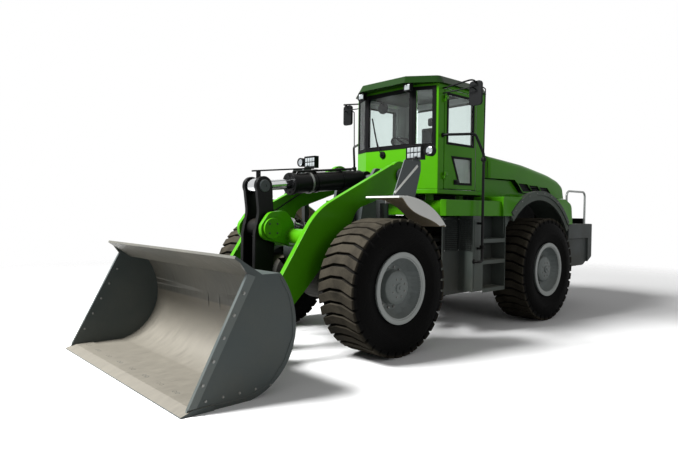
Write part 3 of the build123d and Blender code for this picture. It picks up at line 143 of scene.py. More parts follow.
def ramped(tree, value, low, high, least=0.0, most=1.0):
    """Number that rises from least to most as the value goes from low to high."""
    ramp = tree.nodes.new("ShaderNodeMapRange")
    for name, number in (("From Min", low), ("From Max", high), ("To Min", least), ("To Max", most)):
        ramp.inputs[name].default_value = number
    tree.links.new(value, ramp.inputs["Value"])
    return ramp.outputs["Result"]


def math_of(tree, operation, *values):
    """Result of a Math node on sockets and plain numbers."""
    step = tree.nodes.new("ShaderNodeMath")
    step.operation = operation
    for slot_number, value in enumerate(values):
        if isinstance(value, (int, float)):
            step.inputs[slot_number].default_value = value
        else:
            tree.links.new(value, step.inputs[slot_number])
    return step.outputs["Value"]


def clouds(tree, scale, stretch=(1.0, 1.0, 1.0)):
    """Soft noise over the piece, drawn out along one way where stretch says so."""
    place = tree.nodes.new("ShaderNodeTexCoord")
    mapping = tree.nodes.new("ShaderNodeMapping")
    mapping.inputs["Scale"].default_value = stretch
    tree.links.new(place.outputs["Object"], mapping.inputs["Vector"])
    noise = tree.nodes.new("ShaderNodeTexNoise")
    noise.inputs["Scale"].default_value = scale
    noise.inputs["Detail"].default_value = 6.0
    tree.links.new(mapping.outputs["Vector"], noise.inputs["Vector"])
    return noise.outputs["Fac"]


def bumped(tree, shader, height, strength, distance):
    """Lets a height pattern roughen the surface."""
    bump = tree.nodes.new("ShaderNodeBump")
    bump.inputs["Strength"].default_value = strength
    bump.inputs["Distance"].default_value = distance
    tree.links.new(height, bump.inputs["Height"])
    tree.links.new(bump.outputs["Normal"], shader.inputs["Normal"])


def plain(name, values):
    """A new material with its node tree and its shader, which starts from these values."""
    material = bpy.data.materials.new(name)
    material.use_nodes = True
    shader = material.node_tree.nodes["Principled BSDF"]
    for value_name, value in values.items():
        shader.inputs[value_name].default_value = value
    return material, material.node_tree, shader


def axes_of(tree, kind):
    """X, Y and Z of the place of a point, for kind Object, or of the way it faces, for kind Normal."""
    place = tree.nodes.new("ShaderNodeTexCoord")
    split = tree.nodes.new("ShaderNodeSeparateXYZ")
    tree.links.new(place.outputs[kind], split.inputs["Vector"])
    return split.outputs


ROAD_DUST = srgb(128, 116, 96)
DUST_TOP = 1.9


def paint(name, colour, roughness, dust=0.0, coat=0.0, metal=0.0, peel=0.05, shine=0.2):
    """Sprayed paint: slight mottling, fine orange peel, and dust near the ground and on what faces up."""
    gloss = {"Coat Weight": coat, "Coat Roughness": 0.08, "Metallic": metal, "Specular IOR Level": shine}
    material, tree, shader = plain(name, gloss)
    cloud = clouds(tree, 2.3)
    speck = clouds(tree, 38.0)
    lighter = [min(1.0, c * 1.1) for c in colour[:3]] + [1.0]
    tone = mixed(tree, cloud, [c * 0.86 for c in colour[:3]] + [1.0], lighter)
    height = axes_of(tree, "Object")["Z"]
    facing = axes_of(tree, "Normal")["Z"]
    low = ramped(tree, height, DUST_TOP, 0.0, 0.0, dust)
    upward = ramped(tree, facing, 0.4, 1.0, 0.0, dust)
    lying = math_of(tree, "ADD", low, upward)
    patches = math_of(tree, "MULTIPLY", lying, ramped(tree, cloud, 0.3, 0.75))
    grain = math_of(tree, "MULTIPLY", patches, ramped(tree, speck, 0.2, 0.7, 0.5, 1.0))
    tree.links.new(mixed(tree, grain, tone, ROAD_DUST), shader.inputs["Base Color"])
    dulled = math_of(tree, "ADD", ramped(tree, cloud, 0.0, 1.0, roughness * 0.8, roughness * 1.25), grain)
    tree.links.new(math_of(tree, "MINIMUM", dulled, 0.95), shader.inputs["Roughness"])
    bumped(tree, shader, clouds(tree, 240.0), peel, 0.002)
    return material


chassis_paint = paint("chassis_paint", srgb(38, 41, 42), 0.5, dust=0.45)
for node in ("rear_frame", "rear_axle", "rear_shaft"):
    dress(node, 0.004, chassis_paint)


def turned(profile, at, axis, sides=24):
    """A lathe part: a disc drawn out along its axis through each (height, radius) of its profile."""
    pick()
    height, radius = profile[0]
    bpy.ops.mesh.primitive_circle_add(vertices=sides, radius=radius, fill_type="NGON", location=(0, 0, 0))
    piece = bpy.context.object
    edit_all()
    bpy.ops.transform.translate(value=(0, 0, height))
    for next_height, next_radius in profile[1:]:
        bpy.ops.mesh.extrude_region_move(TRANSFORM_OT_translate={"value": (0, 0, next_height - height)})
        share = next_radius / radius
        bpy.ops.transform.resize(value=(share, share, 1.0), center_override=(0, 0, next_height))
        height, radius = next_height, next_radius
    bpy.ops.mesh.select_all(action="SELECT")
    bpy.ops.mesh.normals_make_consistent(inside=False)
    bpy.ops.object.mode_set(mode="OBJECT")
    piece.rotation_euler = Vector(axis).to_track_quat("Z", "Y").to_euler()
    piece.location = at
    bpy.ops.object.transform_apply()
    return piece


def settle(pieces, name, body, material):
    """Joins finished pieces into one, names it and lets it ride on a body."""
    pick(*pieces)
    if len(pieces) > 1:
        bpy.ops.object.join()
    piece = bpy.context.object
    bpy.ops.object.transform_apply()
    bpy.ops.object.shade_smooth_by_angle(angle=CREASE)
    piece.name = name
    piece.data.materials.clear()
    piece.data.materials.append(material)
    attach(piece, body)
    return piece


def copied(first, spots):
    """A piece that stands at the first spot, with copies of it at the others."""
    pieces = [first]
    for place in spots[1:]:
        pick(first)
        bpy.ops.object.duplicate()
        pieces.append(bpy.context.object)
        pieces[-1].location = place - spots[0]
    return pieces


def bolt_heads(spots, facing, size):
    """Flanged hexagon heads: one is turned, and the rest are copies of it at their spots."""
    profile = [(-0.3 * size, 1.2 * size), (0.2 * size, 1.2 * size), (0.2 * size, 0.9 * size)]
    profile += [(0.8 * size, 0.9 * size), (0.95 * size, 0.7 * size)]
    return copied(turned(profile, spots[0], facing, 6), spots)


def ring_of(centre, radius, count, across, up):
    """Spots evenly spread on a circle that lies in the plane of two directions."""
    turns = [2 * math.pi * (step + 0.5) / count for step in range(count)]
    return [centre + radius * (math.cos(t) * Vector(across) + math.sin(t) * Vector(up)) for t in turns]


bolt_steel = paint("bolt_steel", srgb(120, 122, 120), 0.4, dust=0.2, metal=0.7)
HINGE_TOP = 1.256
CAP_H = 0.026
cap = turned([(0, 0.088), (0.02, 0.088), (CAP_H, 0.08)], spot(0, 0, HINGE_TOP), (0, 0, 1))
settle([cap], "hinge_pin_cap", "rear", chassis_paint)
cap_ring = ring_of(spot(0, 0, HINGE_TOP + CAP_H), 0.055, 4, (1, 0, 0), (0, 1, 0))
settle(bolt_heads(cap_ring, (0, 0, 1), 0.011), "hinge_cap_bolts", "rear", bolt_steel)

# Front frame: twin towers that carry the boom pins and the tilt cylinder, on the front axle.
# Welded plate in slate paint; the pins end in heads that three bolts hold.
FRONT_AXLE = 1.70
frame_paint = paint("frame_paint", srgb(62, 68, 69), 0.45, dust=0.3)
dress("front_frame", 0.005, frame_paint)
for node in ("front_axle", "front_shaft"):
    dress(node, 0.004, chassis_paint)
BOOM_PIN = (0.907, 2.117)
PIN_FACE = 0.653


def ring_bolts(centre, radius, count, hand, size):
    """Bolt heads on a circle around a pin or a hub that ends at one side."""
    return bolt_heads(ring_of(centre, radius, count, (1, 0, 0), (0, 0, 1)), (0, hand, 0), size)


tower_bolts = []
for hand in HANDS:
    tower_bolts += ring_bolts(spot(BOOM_PIN[0], hand * PIN_FACE, BOOM_PIN[1]), 0.06, 3, hand, 0.012)
settle(tower_bolts, "boom_pin_bolts", "front", bolt_steel)

# Steering cylinders: black barrels on the rear frame with chrome rods to the front frame.
# Each barrel ends in a screwed gland ring around its rod.
STEER_Y = 0.260
STEER_Z = 0.930
STEER_GLAND = -0.380
GLAND_RING = [(0, 0.053), (0.004, 0.06), (0.04, 0.06), (0.048, 0.052)]
black_paint = paint("black_paint", srgb(9, 10, 11), 0.36, dust=0.06, shine=0.1)
rod_steel = paint("rod_steel", srgb(205, 207, 208), 0.13, metal=1.0, peel=0.0)
for name, hand in (("left", 1), ("right", -1)):
    dress("steer_barrel_" + name, 0.003, black_paint)
    dress("steer_rod_" + name, 0.002, rod_steel)
    gland = turned(GLAND_RING, spot(STEER_GLAND, hand * STEER_Y, STEER_Z), (1, 0, 0))
    settle([gland], "steer_gland_" + name, "steer_barrel_" + name, black_paint)

# Rims: welded barrels with a locking ring at the flange and a hub with the planetary drive in its dish.
# Sprayed grey; nuts around the hub hold the disc, small bolts hold the hub's cover.
TRACK_HALF = 1.093
DISC_FACE = 0.100
HUB_FACE = 0.225
LOCK_FACE = 0.257
RING_R = 0.345
HUB_PLUG = [(0, 0.055), (0.012, 0.055), (0.018, 0.048), (0.018, 0.02), (0.03, 0.018)]
LOCK_RING = [(0, 0.404), (0.008, 0.41), (0.016, 0.404), (0.016, 0.36), (0.004, 0.352), (0.002, 0.342)]
WHEELS = [
    ("front_left", FRONT_AXLE, 1),
    ("front_right", FRONT_AXLE, -1),
    ("rear_left", REAR_AXLE, 1),
    ("rear_right", REAR_AXLE, -1),
]
rim_paint = paint("rim_paint", srgb(118, 125, 124), 0.42, dust=0.2)
ring_paint = paint("ring_paint", srgb(165, 170, 168), 0.38, dust=0.15)


def repaint(piece, material, chosen):
    """Gives the faces that a test on centre and normal picks another finish."""
    piece.data.materials.append(material)
    number = len(piece.data.materials) - 1
    for face in piece.data.polygons:
        if chosen(face.center, face.normal):
            face.material_index = number


for name, axle, hand in WHEELS:
    rim = dress("rim_" + name, 0.003, rim_paint)
    centre = spot(axle, 0, AXLE_H)
    repaint(
        rim,
        ring_paint,
        lambda c, n: (Vector((c.x, 0, c.z)) - centre).length > RING_R and abs(n.y) > 0.25,
    )
    wheel_y = hand * TRACK_HALF
    disc = spot(axle, wheel_y + hand * DISC_FACE, AXLE_H)
    hub = spot(axle, wheel_y + hand * HUB_FACE, AXLE_H)
    nuts = ring_bolts(disc, 0.232, 16, hand, 0.016)
    nuts += ring_bolts(hub, 0.105, 8, hand, 0.011)
    settle(nuts, "wheel_nuts_" + name, "wheel_" + name, bolt_steel)
    plug = turned(HUB_PLUG, hub, (0, hand, 0))
    settle([plug], "hub_plug_" + name, "wheel_" + name, rim_paint)
    lock = turned(LOCK_RING, spot(axle, wheel_y + hand * LOCK_FACE, AXLE_H), (0, hand, 0), 48)
    # The ring is open: its two end faces are the only ones with more than four corners.
    bpy.ops.object.mode_set(mode="EDIT")
    bpy.ops.mesh.select_all(action="DESELECT")
    bpy.ops.object.mode_set(mode="OBJECT")
    for face in lock.data.polygons:
        face.select = len(face.vertices) > 4
    bpy.ops.object.mode_set(mode="EDIT")
    bpy.ops.mesh.delete(type="FACE")
    bpy.ops.object.mode_set(mode="OBJECT")
    settle([lock], "lock_ring_" + name, "wheel_" + name, ring_paint)

# Tyres: wide earthmover tyres with thick cross lugs, moulded in black rubber.
# Dust has dried on the treads, while the walls with their fine rings stay black.
TREAD_BASE = 0.742
WALL_RING = 0.019
rubber, tree, shader = plain("tyre_rubber", {"Specular IOR Level": 0.03})
axes = axes_of(tree, "Object")
from_hinge = math_of(tree, "ABSOLUTE", math_of(tree, "SUBTRACT", axes["X"], HINGE_X))
along = math_of(tree, "SUBTRACT", from_hinge, FRONT_AXLE)
above = math_of(tree, "SUBTRACT", axes["Z"], AXLE_H)
squares = math_of(tree, "ADD", math_of(tree, "POWER", along, 2.0), math_of(tree, "POWER", above, 2.0))
reach = math_of(tree, "SQRT", squares)
cloud = clouds(tree, 5.0)
speck = clouds(tree, 60.0)
tread = ramped(tree, reach, TREAD_BASE, TREAD_BASE + 0.03)
worn = math_of(tree, "MULTIPLY", tread, ramped(tree, cloud, 0.25, 0.6, 0.35, 1.0))
wall_specks = ramped(tree, speck, 0.45, 0.75, 0.0, 0.05)
wall_dust = math_of(tree, "MULTIPLY", wall_specks, ramped(tree, cloud, 0.3, 0.7))
tread_dust = math_of(tree, "MULTIPLY", worn, ramped(tree, speck, 0.2, 0.6, 0.6, 1.0))
share = math_of(tree, "MAXIMUM", tread_dust, wall_dust)
tree.links.new(mixed(tree, share, srgb(12, 12, 12), srgb(62, 58, 50)), shader.inputs["Base Color"])
tree.links.new(ramped(tree, share, 0.0, 1.0, 0.75, 0.9), shader.inputs["Roughness"])
rings = math_of(tree, "SINE", math_of(tree, "MULTIPLY", reach, 2 * math.pi / WALL_RING))
on_wall = ramped(tree, reach, 0.66, 0.62)
rough = math_of(tree, "ADD", math_of(tree, "MULTIPLY", rings, on_wall), math_of(tree, "MULTIPLY", speck, 0.7))
bumped(tree, shader, rough, 0.35, 0.004)
for wheel in WHEELS:
    dress("tyre_" + wheel[0], 0.007, rubber)

# Counterweight: one heavy casting bolted over the frame's tail, in slate paint with a dusty top.
# Lamp cases with red and amber lenses stand on it beside the rail loops.
TAIL_LENS = (-3.743, 1.5125)
counter_paint = paint("counter_paint", srgb(54, 60, 60), 0.55, dust=0.35, peel=0.25)
dress("counterweight", 0.008, counter_paint)
plastic = paint("black_plastic", srgb(14, 15, 16), 0.5, dust=0.05, peel=0.15, shine=0.06)
dress("rear_lamps", 0.006, plastic)


def plate(size, at, edge=0.004):
    """A flat bar or small case: a cube drawn out to its size, with rolled edges."""
    pick()
    bpy.ops.mesh.primitive_cube_add(size=1.0, location=at)
    piece = bpy.context.object
    piece.scale = size
    bpy.ops.object.transform_apply()
    edit_all()
    bpy.ops.mesh.bevel(offset=edge, segments=2, affect="EDGES")
    bpy.ops.object.mode_set(mode="OBJECT")
    return piece


red_lens = paint("red_lens", srgb(150, 14, 12), 0.12, coat=1.0, peel=0.0)
amber_lens = paint("amber_lens", srgb(205, 104, 16), 0.12, coat=1.0, peel=0.0)
for lens, name, lens_y, wide in ((red_lens, "red", 0.862, 0.1), (amber_lens, "amber", 0.955, 0.064)):
    places = [spot(TAIL_LENS[0], hand * lens_y, TAIL_LENS[1]) for hand in HANDS]
    lenses = [plate((0.014, wide, 0.07), at) for at in places]
    settle(lenses, name + "_lenses", "rear", lens)

# Cooler housing and power pack: the slotted tail of the body and the dark mass under the hood.
# The housing is folded sheet in dark paint, with a fine wire screen and a black core behind its slots.
COOLER_SCREEN = -3.350
COOLER_MID = 1.68
COOLER_WIDE = 1.06
dress("cooler_housing", 0.004, chassis_paint)
dress("power_pack", 0.02, chassis_paint)


def wire_screen(wide, tall, cells, wire, at, turn):
    """Woven screen: a grid of square cells whose edges become wires."""
    pick()
    bpy.ops.mesh.primitive_grid_add(x_subdivisions=cells[0], y_subdivisions=cells[1], size=1.0)
    piece = bpy.context.object
    piece.scale = (wide, tall, 1.0)
    piece.rotation_euler = turn
    piece.location = at
    bpy.ops.object.transform_apply()
    alter(piece, "WIREFRAME", thickness=wire, use_even_offset=False)
    return piece


UPRIGHT_X = (math.radians(90), 0, math.radians(90))
screen = wire_screen(COOLER_WIDE, 0.33, (60, 18), 0.004, spot(COOLER_SCREEN, 0, COOLER_MID), UPRIGHT_X)
settle([screen], "cooler_screen", "rear", chassis_paint)
core = plate((0.03, COOLER_WIDE, 0.34), spot(COOLER_SCREEN + 0.05, 0, COOLER_MID))
settle([core], "cooler_core", "rear", plastic)

# Hood: one pressed cover over the power pack, green gloss paint, hinged behind the cab.
# Three slanted vents on each side have raised frames; their slats are painted black and a black sheet stands
# behind them, painted shade for the dark inside of the hood.
HOOD_HALF = 0.780
VENT = [(-0.055, 2.129), (-0.339, 2.124), (-0.507, 1.998), (-0.217, 1.989)]
VENT_STEP = (-0.340, -0.018)
VENT_TOP = 2.14
VENT_GROWTH = 1.16
VENT_SHADE_Y = 0.7548
VENT_SHADE_BAND = (0.75, 0.777)
green_paint = paint("green_paint", srgb(66, 138, 8), 0.3, dust=0.05, coat=0.03, shine=0.08)
hood = dress("hood", 0.003, green_paint)
# Faces inside each vent, slats and the hood's inner walls alike, are painted black: painted shade for the
# dark inside of the hood.
repaint(
    hood,
    plastic,
    lambda c, n: VENT_SHADE_BAND[0] < abs(c.y) < VENT_SHADE_BAND[1] and c.z < VENT_TOP and c.x < HINGE_X + REAR_AXLE,
)


def outline_face(corners):
    """A flat face cut to an outline, left in edit mode with all of it selected."""
    pick()
    bpy.ops.mesh.primitive_circle_add(vertices=len(corners), radius=1.0, fill_type="NGON", location=(0, 0, 0))
    piece = bpy.context.object
    for vertex, corner in zip(piece.data.vertices, corners):
        vertex.co = corner
    edit_all()
    return piece


def drawn_out(depth):
    """Gives the face in edit mode its thickness and ends the edit."""
    bpy.ops.mesh.extrude_region_move(TRANSFORM_OT_translate={"value": depth})
    bpy.ops.mesh.select_all(action="SELECT")
    bpy.ops.mesh.normals_make_consistent(inside=False)
    bpy.ops.object.mode_set(mode="OBJECT")


def cut_plate(corners, depth):
    """A plate cut to an outline and given a thickness."""
    piece = outline_face(corners)
    drawn_out(depth)
    return piece


def seal(corners, width, depth):
    """A frame around an outline: a face whose middle is inset and taken out before it is drawn out."""
    piece = outline_face(corners)
    bpy.ops.mesh.inset(thickness=width, depth=0.0, use_boundary=True)
    bpy.ops.mesh.delete(type="FACE")
    bpy.ops.mesh.select_all(action="SELECT")
    drawn_out(depth)
    return piece


vent_frames = []
vent_shade_sheets = []
for hand in HANDS:
    for number in range(3):
        shift = (REAR_AXLE + number * VENT_STEP[0], number * VENT_STEP[1])
        corners = [spot(x + shift[0], hand * HOOD_HALF, z + shift[1]) for x, z in VENT]
        centre = sum(corners, Vector()) / 4
        outer = [centre + VENT_GROWTH * (c - centre) for c in corners]
        vent_frames.append(seal(outer, 0.016, (0, hand * 0.008, 0)))
        # A black sheet just inside each vent is painted shade for the dark inside of the hood.
        back = [Vector((c.x, hand * VENT_SHADE_Y, c.z)) for c in outer]
        vent_shade_sheets.append(cut_plate(back, (0, -hand * 0.006, 0)))
settle(vent_frames, "vent_frames", "hood", green_paint)
settle(vent_shade_sheets, "vent_shade_sheets", "hood", plastic)
handle = [plate((0.03, 0.26, 0.05), spot(-3.385, 0, 2.02)), plate((0.012, 0.34, 0.09), spot(-3.372, 0, 2.02))]
settle(handle, "hood_handle", "hood", plastic)

# Rear fenders: folded green covers over the rear wheels that also close the sides below the hood.
# A thick grey lip of moulded rubber runs along each wheel arch, held by a row of small bolts,
# and a narrow rubber skirt hangs below it.
LIP_R = 1.206
ARCH_R = 1.140
LIP_FACE = 1.218
SKIRT_R = 1.065
SKIRT_FACE = 1.173
lip_rubber = paint("lip_rubber", srgb(62, 70, 64), 0.6, dust=0.25, peel=0.2)
fenders = dress("rear_fenders", 0.004, green_paint)
arch = spot(REAR_AXLE, 0, AXLE_H)


def on_lip(c, n):
    """True for the faces of the lip and of the vault under it."""
    reach = (Vector((c.x, 0, c.z)) - arch).length
    return reach < LIP_R + 0.004 and (abs(c.y) > LIP_FACE - 0.078 or reach < ARCH_R + 0.003)


repaint(fenders, lip_rubber, on_lip)


def by_arch(radius, turn, y):
    """A spot on a circle around the rear axle, turned in degrees up from straight ahead."""
    angle = math.radians(turn)
    return arch + Vector((radius * math.cos(angle), y, radius * math.sin(angle)))


lip_bolts = []
skirts = []
for hand in HANDS:
    ring = [by_arch((LIP_R + ARCH_R) / 2, 50 + 11.25 * step, hand * LIP_FACE) for step in range(9)]
    lip_bolts += bolt_heads(ring, (0, hand, 0), 0.009)
    band = [by_arch(ARCH_R + 0.02, turn, hand * SKIRT_FACE) for turn in range(44, 149, 8)]
    band += [by_arch(SKIRT_R, turn, hand * SKIRT_FACE) for turn in range(148, 43, -8)]
    skirts.append(cut_plate(band, (0, hand * 0.03, 0)))
settle(lip_bolts, "lip_bolts", "rear", bolt_steel)
settle(skirts, "arch_skirts", "rear", lip_rubber)

# Side boxes: closed cases on the rear frame's plates, in dark paint.
# A woven black screen is let into each upper front corner, held by a flat frame with four bolts; the recess
# behind it is painted black as painted shade.
BOX_Y = 0.950
MESH_MID = (0.235, 1.3425)
MESH_SIZE = (0.318, 0.423)
MESH_WIRE = 0.014
FRAME_HALF = 0.012
FRAME_THICK = 0.005
UPRIGHT_Y = (math.radians(90), 0, 0)
box_paint = paint("box_paint", srgb(46, 52, 51), 0.5, dust=0.25)
boxes = dress("side_boxes", 0.004, box_paint)
screen_paint = paint("screen_paint", srgb(34, 39, 38), 0.5, dust=0.1, metal=0.3)
# The recess's back face behind each screen is repainted black: painted shade for the dark inside of the box.
repaint(boxes, plastic, lambda c, n: abs(abs(c.y) - BOX_Y + 0.01) < 0.002 and abs(n.y) > 0.9)
mesh_screens = []
mesh_bolts = []
for hand in HANDS:
    middle = spot(MESH_MID[0], hand * (BOX_Y - 0.006), MESH_MID[1])
    mesh_screens.append(wire_screen(*MESH_SIZE, (12, 16), MESH_WIRE, middle, UPRIGHT_Y))
    case_face = spot(0.0535, hand * 1.06, MESH_MID[1])
    mesh_screens.append(wire_screen(0.2, MESH_SIZE[1], (8, 16), MESH_WIRE, case_face, UPRIGHT_X))
    half = [size / 2 + FRAME_HALF for size in MESH_SIZE]
    ring = [(-1, -1), (-1, 1), (1, 1), (1, -1)]
    corners = [spot(MESH_MID[0] + a * half[0], hand * BOX_Y, MESH_MID[1] + b * half[1]) for a, b in ring]
    face = Vector((0, hand * FRAME_THICK, 0))
    mesh_screens.append(seal(corners, 2 * FRAME_HALF, face))
    inner = [c + face - FRAME_HALF * Vector((a, 0, b)) for c, (a, b) in zip(corners, ring)]
    mesh_bolts += bolt_heads(inner, (0, hand, 0), 0.008)
settle(mesh_screens, "box_screens", "rear", screen_paint)
settle(mesh_bolts, "box_screen_bolts", "rear", bolt_steel)

# Steps: folded sheet treads between a plain front case and a cheek plate, in grey paint.
# Each tread has rows of raised buttons, pressed up from below so that boots grip.
TREADS = (0.594, 0.984, 1.279)
TREAD_X = (-0.72, -0.24)
TREAD_Y = 0.995
ROW_GAP = 0.06
COLUMNS = 11
CASE_FACE = 1.1705
SHEET_FACE = 1.14
CASE_DOOR = [(-0.17, 0.62), (0.02, 0.62), (0.02, 1.55), (-0.17, 1.55)]
ARCH_SHEET = [(-0.74, 1.33), (-0.74, 1.62), (-0.985, 1.62), (-0.93, 1.571), (-0.87, 1.51), (-0.80, 1.422)]
step_paint = paint("step_paint", srgb(68, 76, 73), 0.5, dust=0.3)
dress("steps", 0.003, step_paint)
button_spots = []
for hand in HANDS:
    for tread_z in TREADS:
        for row in range(3):
            for column in range(COLUMNS):
                x = TREAD_X[0] + column * (TREAD_X[1] - TREAD_X[0]) / (COLUMNS - 1)
                button_spots.append(spot(x, hand * (TREAD_Y + ROW_GAP * row), tread_z))
button = turned([(-0.002, 0.013), (0.004, 0.012), (0.006, 0.008)], button_spots[0], (0, 0, 1), 8)
settle(copied(button, button_spots), "tread_buttons", "rear", step_paint)


def on_side(outline, y):
    """Corners given by x and z, stood in an upright plane along the machine."""
    return [spot(x, y, z) for x, z in outline]


case_doors = []
for hand in HANDS:
    case_doors.append(cut_plate(on_side(CASE_DOOR, hand * CASE_FACE), (0, hand * 0.004, 0)))
    case_doors.append(cut_plate(on_side(ARCH_SHEET, hand * SHEET_FACE), (0, hand * 0.006, 0)))
settle(case_doors, "case_doors", "rear", step_paint)

# Deck: the platform around the cab, folded from sheet in green paint.
# Its top is coated with dark grit.
grit_paint = paint("grit_paint", srgb(40, 43, 42), 0.85, dust=0.2, peel=0.8)
deck = dress("deck", 0.005, green_paint)
repaint(deck, grit_paint, lambda c, n: n.z > 0.9)

# Cab frame and floor: welded tubes and panels with the window openings cut, green outside.
# The inside and the reveals are lined with light grey trim.
CAB_AXIS = spot(-0.15, 0, 2.6)
trim_plastic = paint("trim_plastic", srgb(168, 172, 169), 0.7, dust=0.05, peel=0.3)
dress("cab_floor", 0.006, green_paint)
cab = dress("cab_frame", 0.008, green_paint)


def inward(c, n):
    """True for faces that look towards the middle of the cab."""
    return (c.x - CAB_AXIS.x) * n.x + c.y * n.y < -0.05


repaint(cab, trim_plastic, inward)

# Cab glass: flat tinted panes bonded into the frame and the doors.
# Black rubber seals cover the bond line.
clear = {"Transmission Weight": 1.0, "Roughness": 0.01, "IOR": 1.04, "Base Color": srgb(232, 240, 238)}
pane_glass = plain("pane_glass", {**clear, "Coat Weight": 0.6, "Coat Roughness": 0.02})[0]
for node in ("cab_glass", "door_left_glass", "door_right_glass"):
    nodes[node].data.materials.clear()
    nodes[node].data.materials.append(pane_glass)
SCREEN_Z = (2.535, 3.365)
CORNER_MID = (0.405, 0.615)
CORNER_RUN = Vector((-0.15, 0.33, 0)).normalized()
CORNER_ENDS = (-0.181, 0.145)
seal_rubber = paint("seal_rubber", srgb(10, 10, 11), 0.55, peel=0.1, shine=0.05)
FRONT_SEAL = (0.48, 0.452, *SCREEN_Z, 0.06, 0.008)
BACK_SEAL = (-0.78, 0.625, 2.595, 3.325, 0.042, -0.008)
seals = []
for x, half, low, high, width, depth in (FRONT_SEAL, BACK_SEAL):
    corners = [spot(x, y, z) for y, z in ((-half, low), (half, low), (half, high), (-half, high))]
    seals.append(seal(corners, width, (depth, 0, 0)))
for hand in HANDS:
    run = Vector((CORNER_RUN.x, hand * CORNER_RUN.y, 0))
    outward = Vector((CORNER_RUN.y, hand * -CORNER_RUN.x, 0))
    middle = spot(CORNER_MID[0], hand * CORNER_MID[1], 0)
    ends = [(CORNER_ENDS[0], 0), (CORNER_ENDS[1], 0), (CORNER_ENDS[1], 1), (CORNER_ENDS[0], 1)]
    corners = [middle + a * run + Vector((0, 0, SCREEN_Z[b])) for a, b in ends]
    seals.append(seal(corners, 0.05, outward * 0.008))
settle(seals, "pane_seals", "rear", seal_rubber)

# Doors: green leaves with an upper and a lower pane, hung on two hinges at the front pillar.
# A black grip plate with a pull handle sits ahead of the lower pane, and each leaf is trimmed inside.
CAB_HALF = 0.780
UPPER_PANE = [(0.13, 2.6), (0.13, 3.28), (-0.495, 3.28), (-0.495, 2.6)]
LOWER_PANE = [(0.017, 2.42), (-0.44, 2.42), (-0.45, 2.05), (-0.157, 2.05)]
for name, hand in (("door_left", 1), ("door_right", -1)):
    leaf = dress(name, 0.006, green_paint)
    repaint(leaf, trim_plastic, inward)
    door_seals = []
    for pane_outline in (UPPER_PANE, LOWER_PANE):
        corners = on_side(pane_outline, hand * CAB_HALF)
        centre = sum(corners, Vector()) / 4
        grown = [c + 0.022 * (c - centre).normalized() for c in corners]
        door_seals.append(seal(grown, 0.034, (0, hand * 0.007, 0)))
    settle(door_seals, name + "_seals", name, seal_rubber)
    grip = [
        plate((0.11, 0.012, 0.07), spot(-0.085, hand * (CAB_HALF + 0.005), 2.07)),
        plate((0.085, 0.016, 0.02), spot(-0.085, hand * (CAB_HALF + 0.03), 2.075), 0.006),
        plate((0.014, 0.03, 0.02), spot(-0.122, hand * (CAB_HALF + 0.016), 2.075)),
        plate((0.014, 0.03, 0.02), spot(-0.048, hand * (CAB_HALF + 0.016), 2.075)),
    ]
    settle(grip, name + "_grip", name, plastic)

# Seat: a sprung pedestal with a cushion, a back and a headrest in dark woven cloth.
# Each pad is foam in a sewn cover, so it swells between its edges.
dress("seat_base", 0.02, plastic)
seat_cloth, tree, shader = plain("seat_cloth", {"Roughness": 0.9, "Sheen Weight": 0.3})
place = tree.nodes.new("ShaderNodeTexCoord")
weave = []
for way in ("X", "Y"):
    threads = tree.nodes.new("ShaderNodeTexWave")
    threads.bands_direction = way
    threads.inputs["Scale"].default_value = 90.0
    tree.links.new(place.outputs["Object"], threads.inputs["Vector"])
    weave.append(threads.outputs["Fac"])
cloth_height = math_of(tree, "MAXIMUM", *weave)
tree.links.new(mixed(tree, cloth_height, srgb(22, 23, 25), srgb(48, 50, 54)), shader.inputs["Base Color"])
bumped(tree, shader, cloth_height, 0.4, 0.002)
PAD_VOXEL = 0.008
PAD_SWELL = 0.014
PAD_PRESSURE = 4.0
PAD_FRAMES = 20


def soft_pad(name, size, at):
    """A foam pad in a sewn cover: a rounded block, remeshed and blown up as cloth up to a limit."""
    pad = plate(size, at, 0.03)
    pad.data.remesh_voxel_size = PAD_VOXEL
    pick(pad)
    bpy.ops.object.voxel_remesh()
    rest = [vertex.co.copy() for vertex in pad.data.vertices]
    cover = pad.modifiers.new("cover", "CLOTH")
    cover.settings.use_pressure = True
    cover.settings.uniform_pressure_force = PAD_PRESSURE
    cover.settings.effector_weights.gravity = 0.0
    for step in range(1, PAD_FRAMES + 1):
        bpy.context.scene.frame_set(step)
    bpy.ops.object.modifier_apply(modifier=cover.name)
    bpy.context.scene.frame_set(1)
    for vertex, start in zip(pad.data.vertices, rest):
        move = vertex.co - start
        if move.length > PAD_SWELL:
            vertex.co = start + move.normalized() * PAD_SWELL
    alter(pad, "SUBSURF", levels=1, render_levels=1)
    settle([pad], name, "rear", seat_cloth)
    return pad


cushion = soft_pad("seat_cushion", (0.49, 0.47, 0.092), spot(-0.235, 0, 2.36))
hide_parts("seat_pads")
soft_pad("seat_back", (0.092, 0.45, 0.62), spot(-0.56, 0, 2.67))
soft_pad("seat_headrest", (0.06, 0.21, 0.13), spot(-0.56, 0, 3.06))

# Console: the dash behind the windscreen with the steering column and wheel, moulded in dark plastic.
# A small round fan hangs in the upper corner of the windscreen.
dress("console", 0.005, plastic)
FAN_Y = -0.31
FAN_CASE = [(0, 0.075), (0.015, 0.085), (0.045, 0.085), (0.05, 0.07), (0.04, 0.03)]
fan = [
    turned(FAN_CASE, spot(0.29, FAN_Y, 3.2), (-1, 0, 0)),
    plate((0.1, 0.02, 0.02), spot(0.345, FAN_Y, 3.29)),
    plate((0.02, 0.02, 0.11), spot(0.3, FAN_Y, 3.25)),
]
settle(fan, "cab_fan", "rear", plastic)
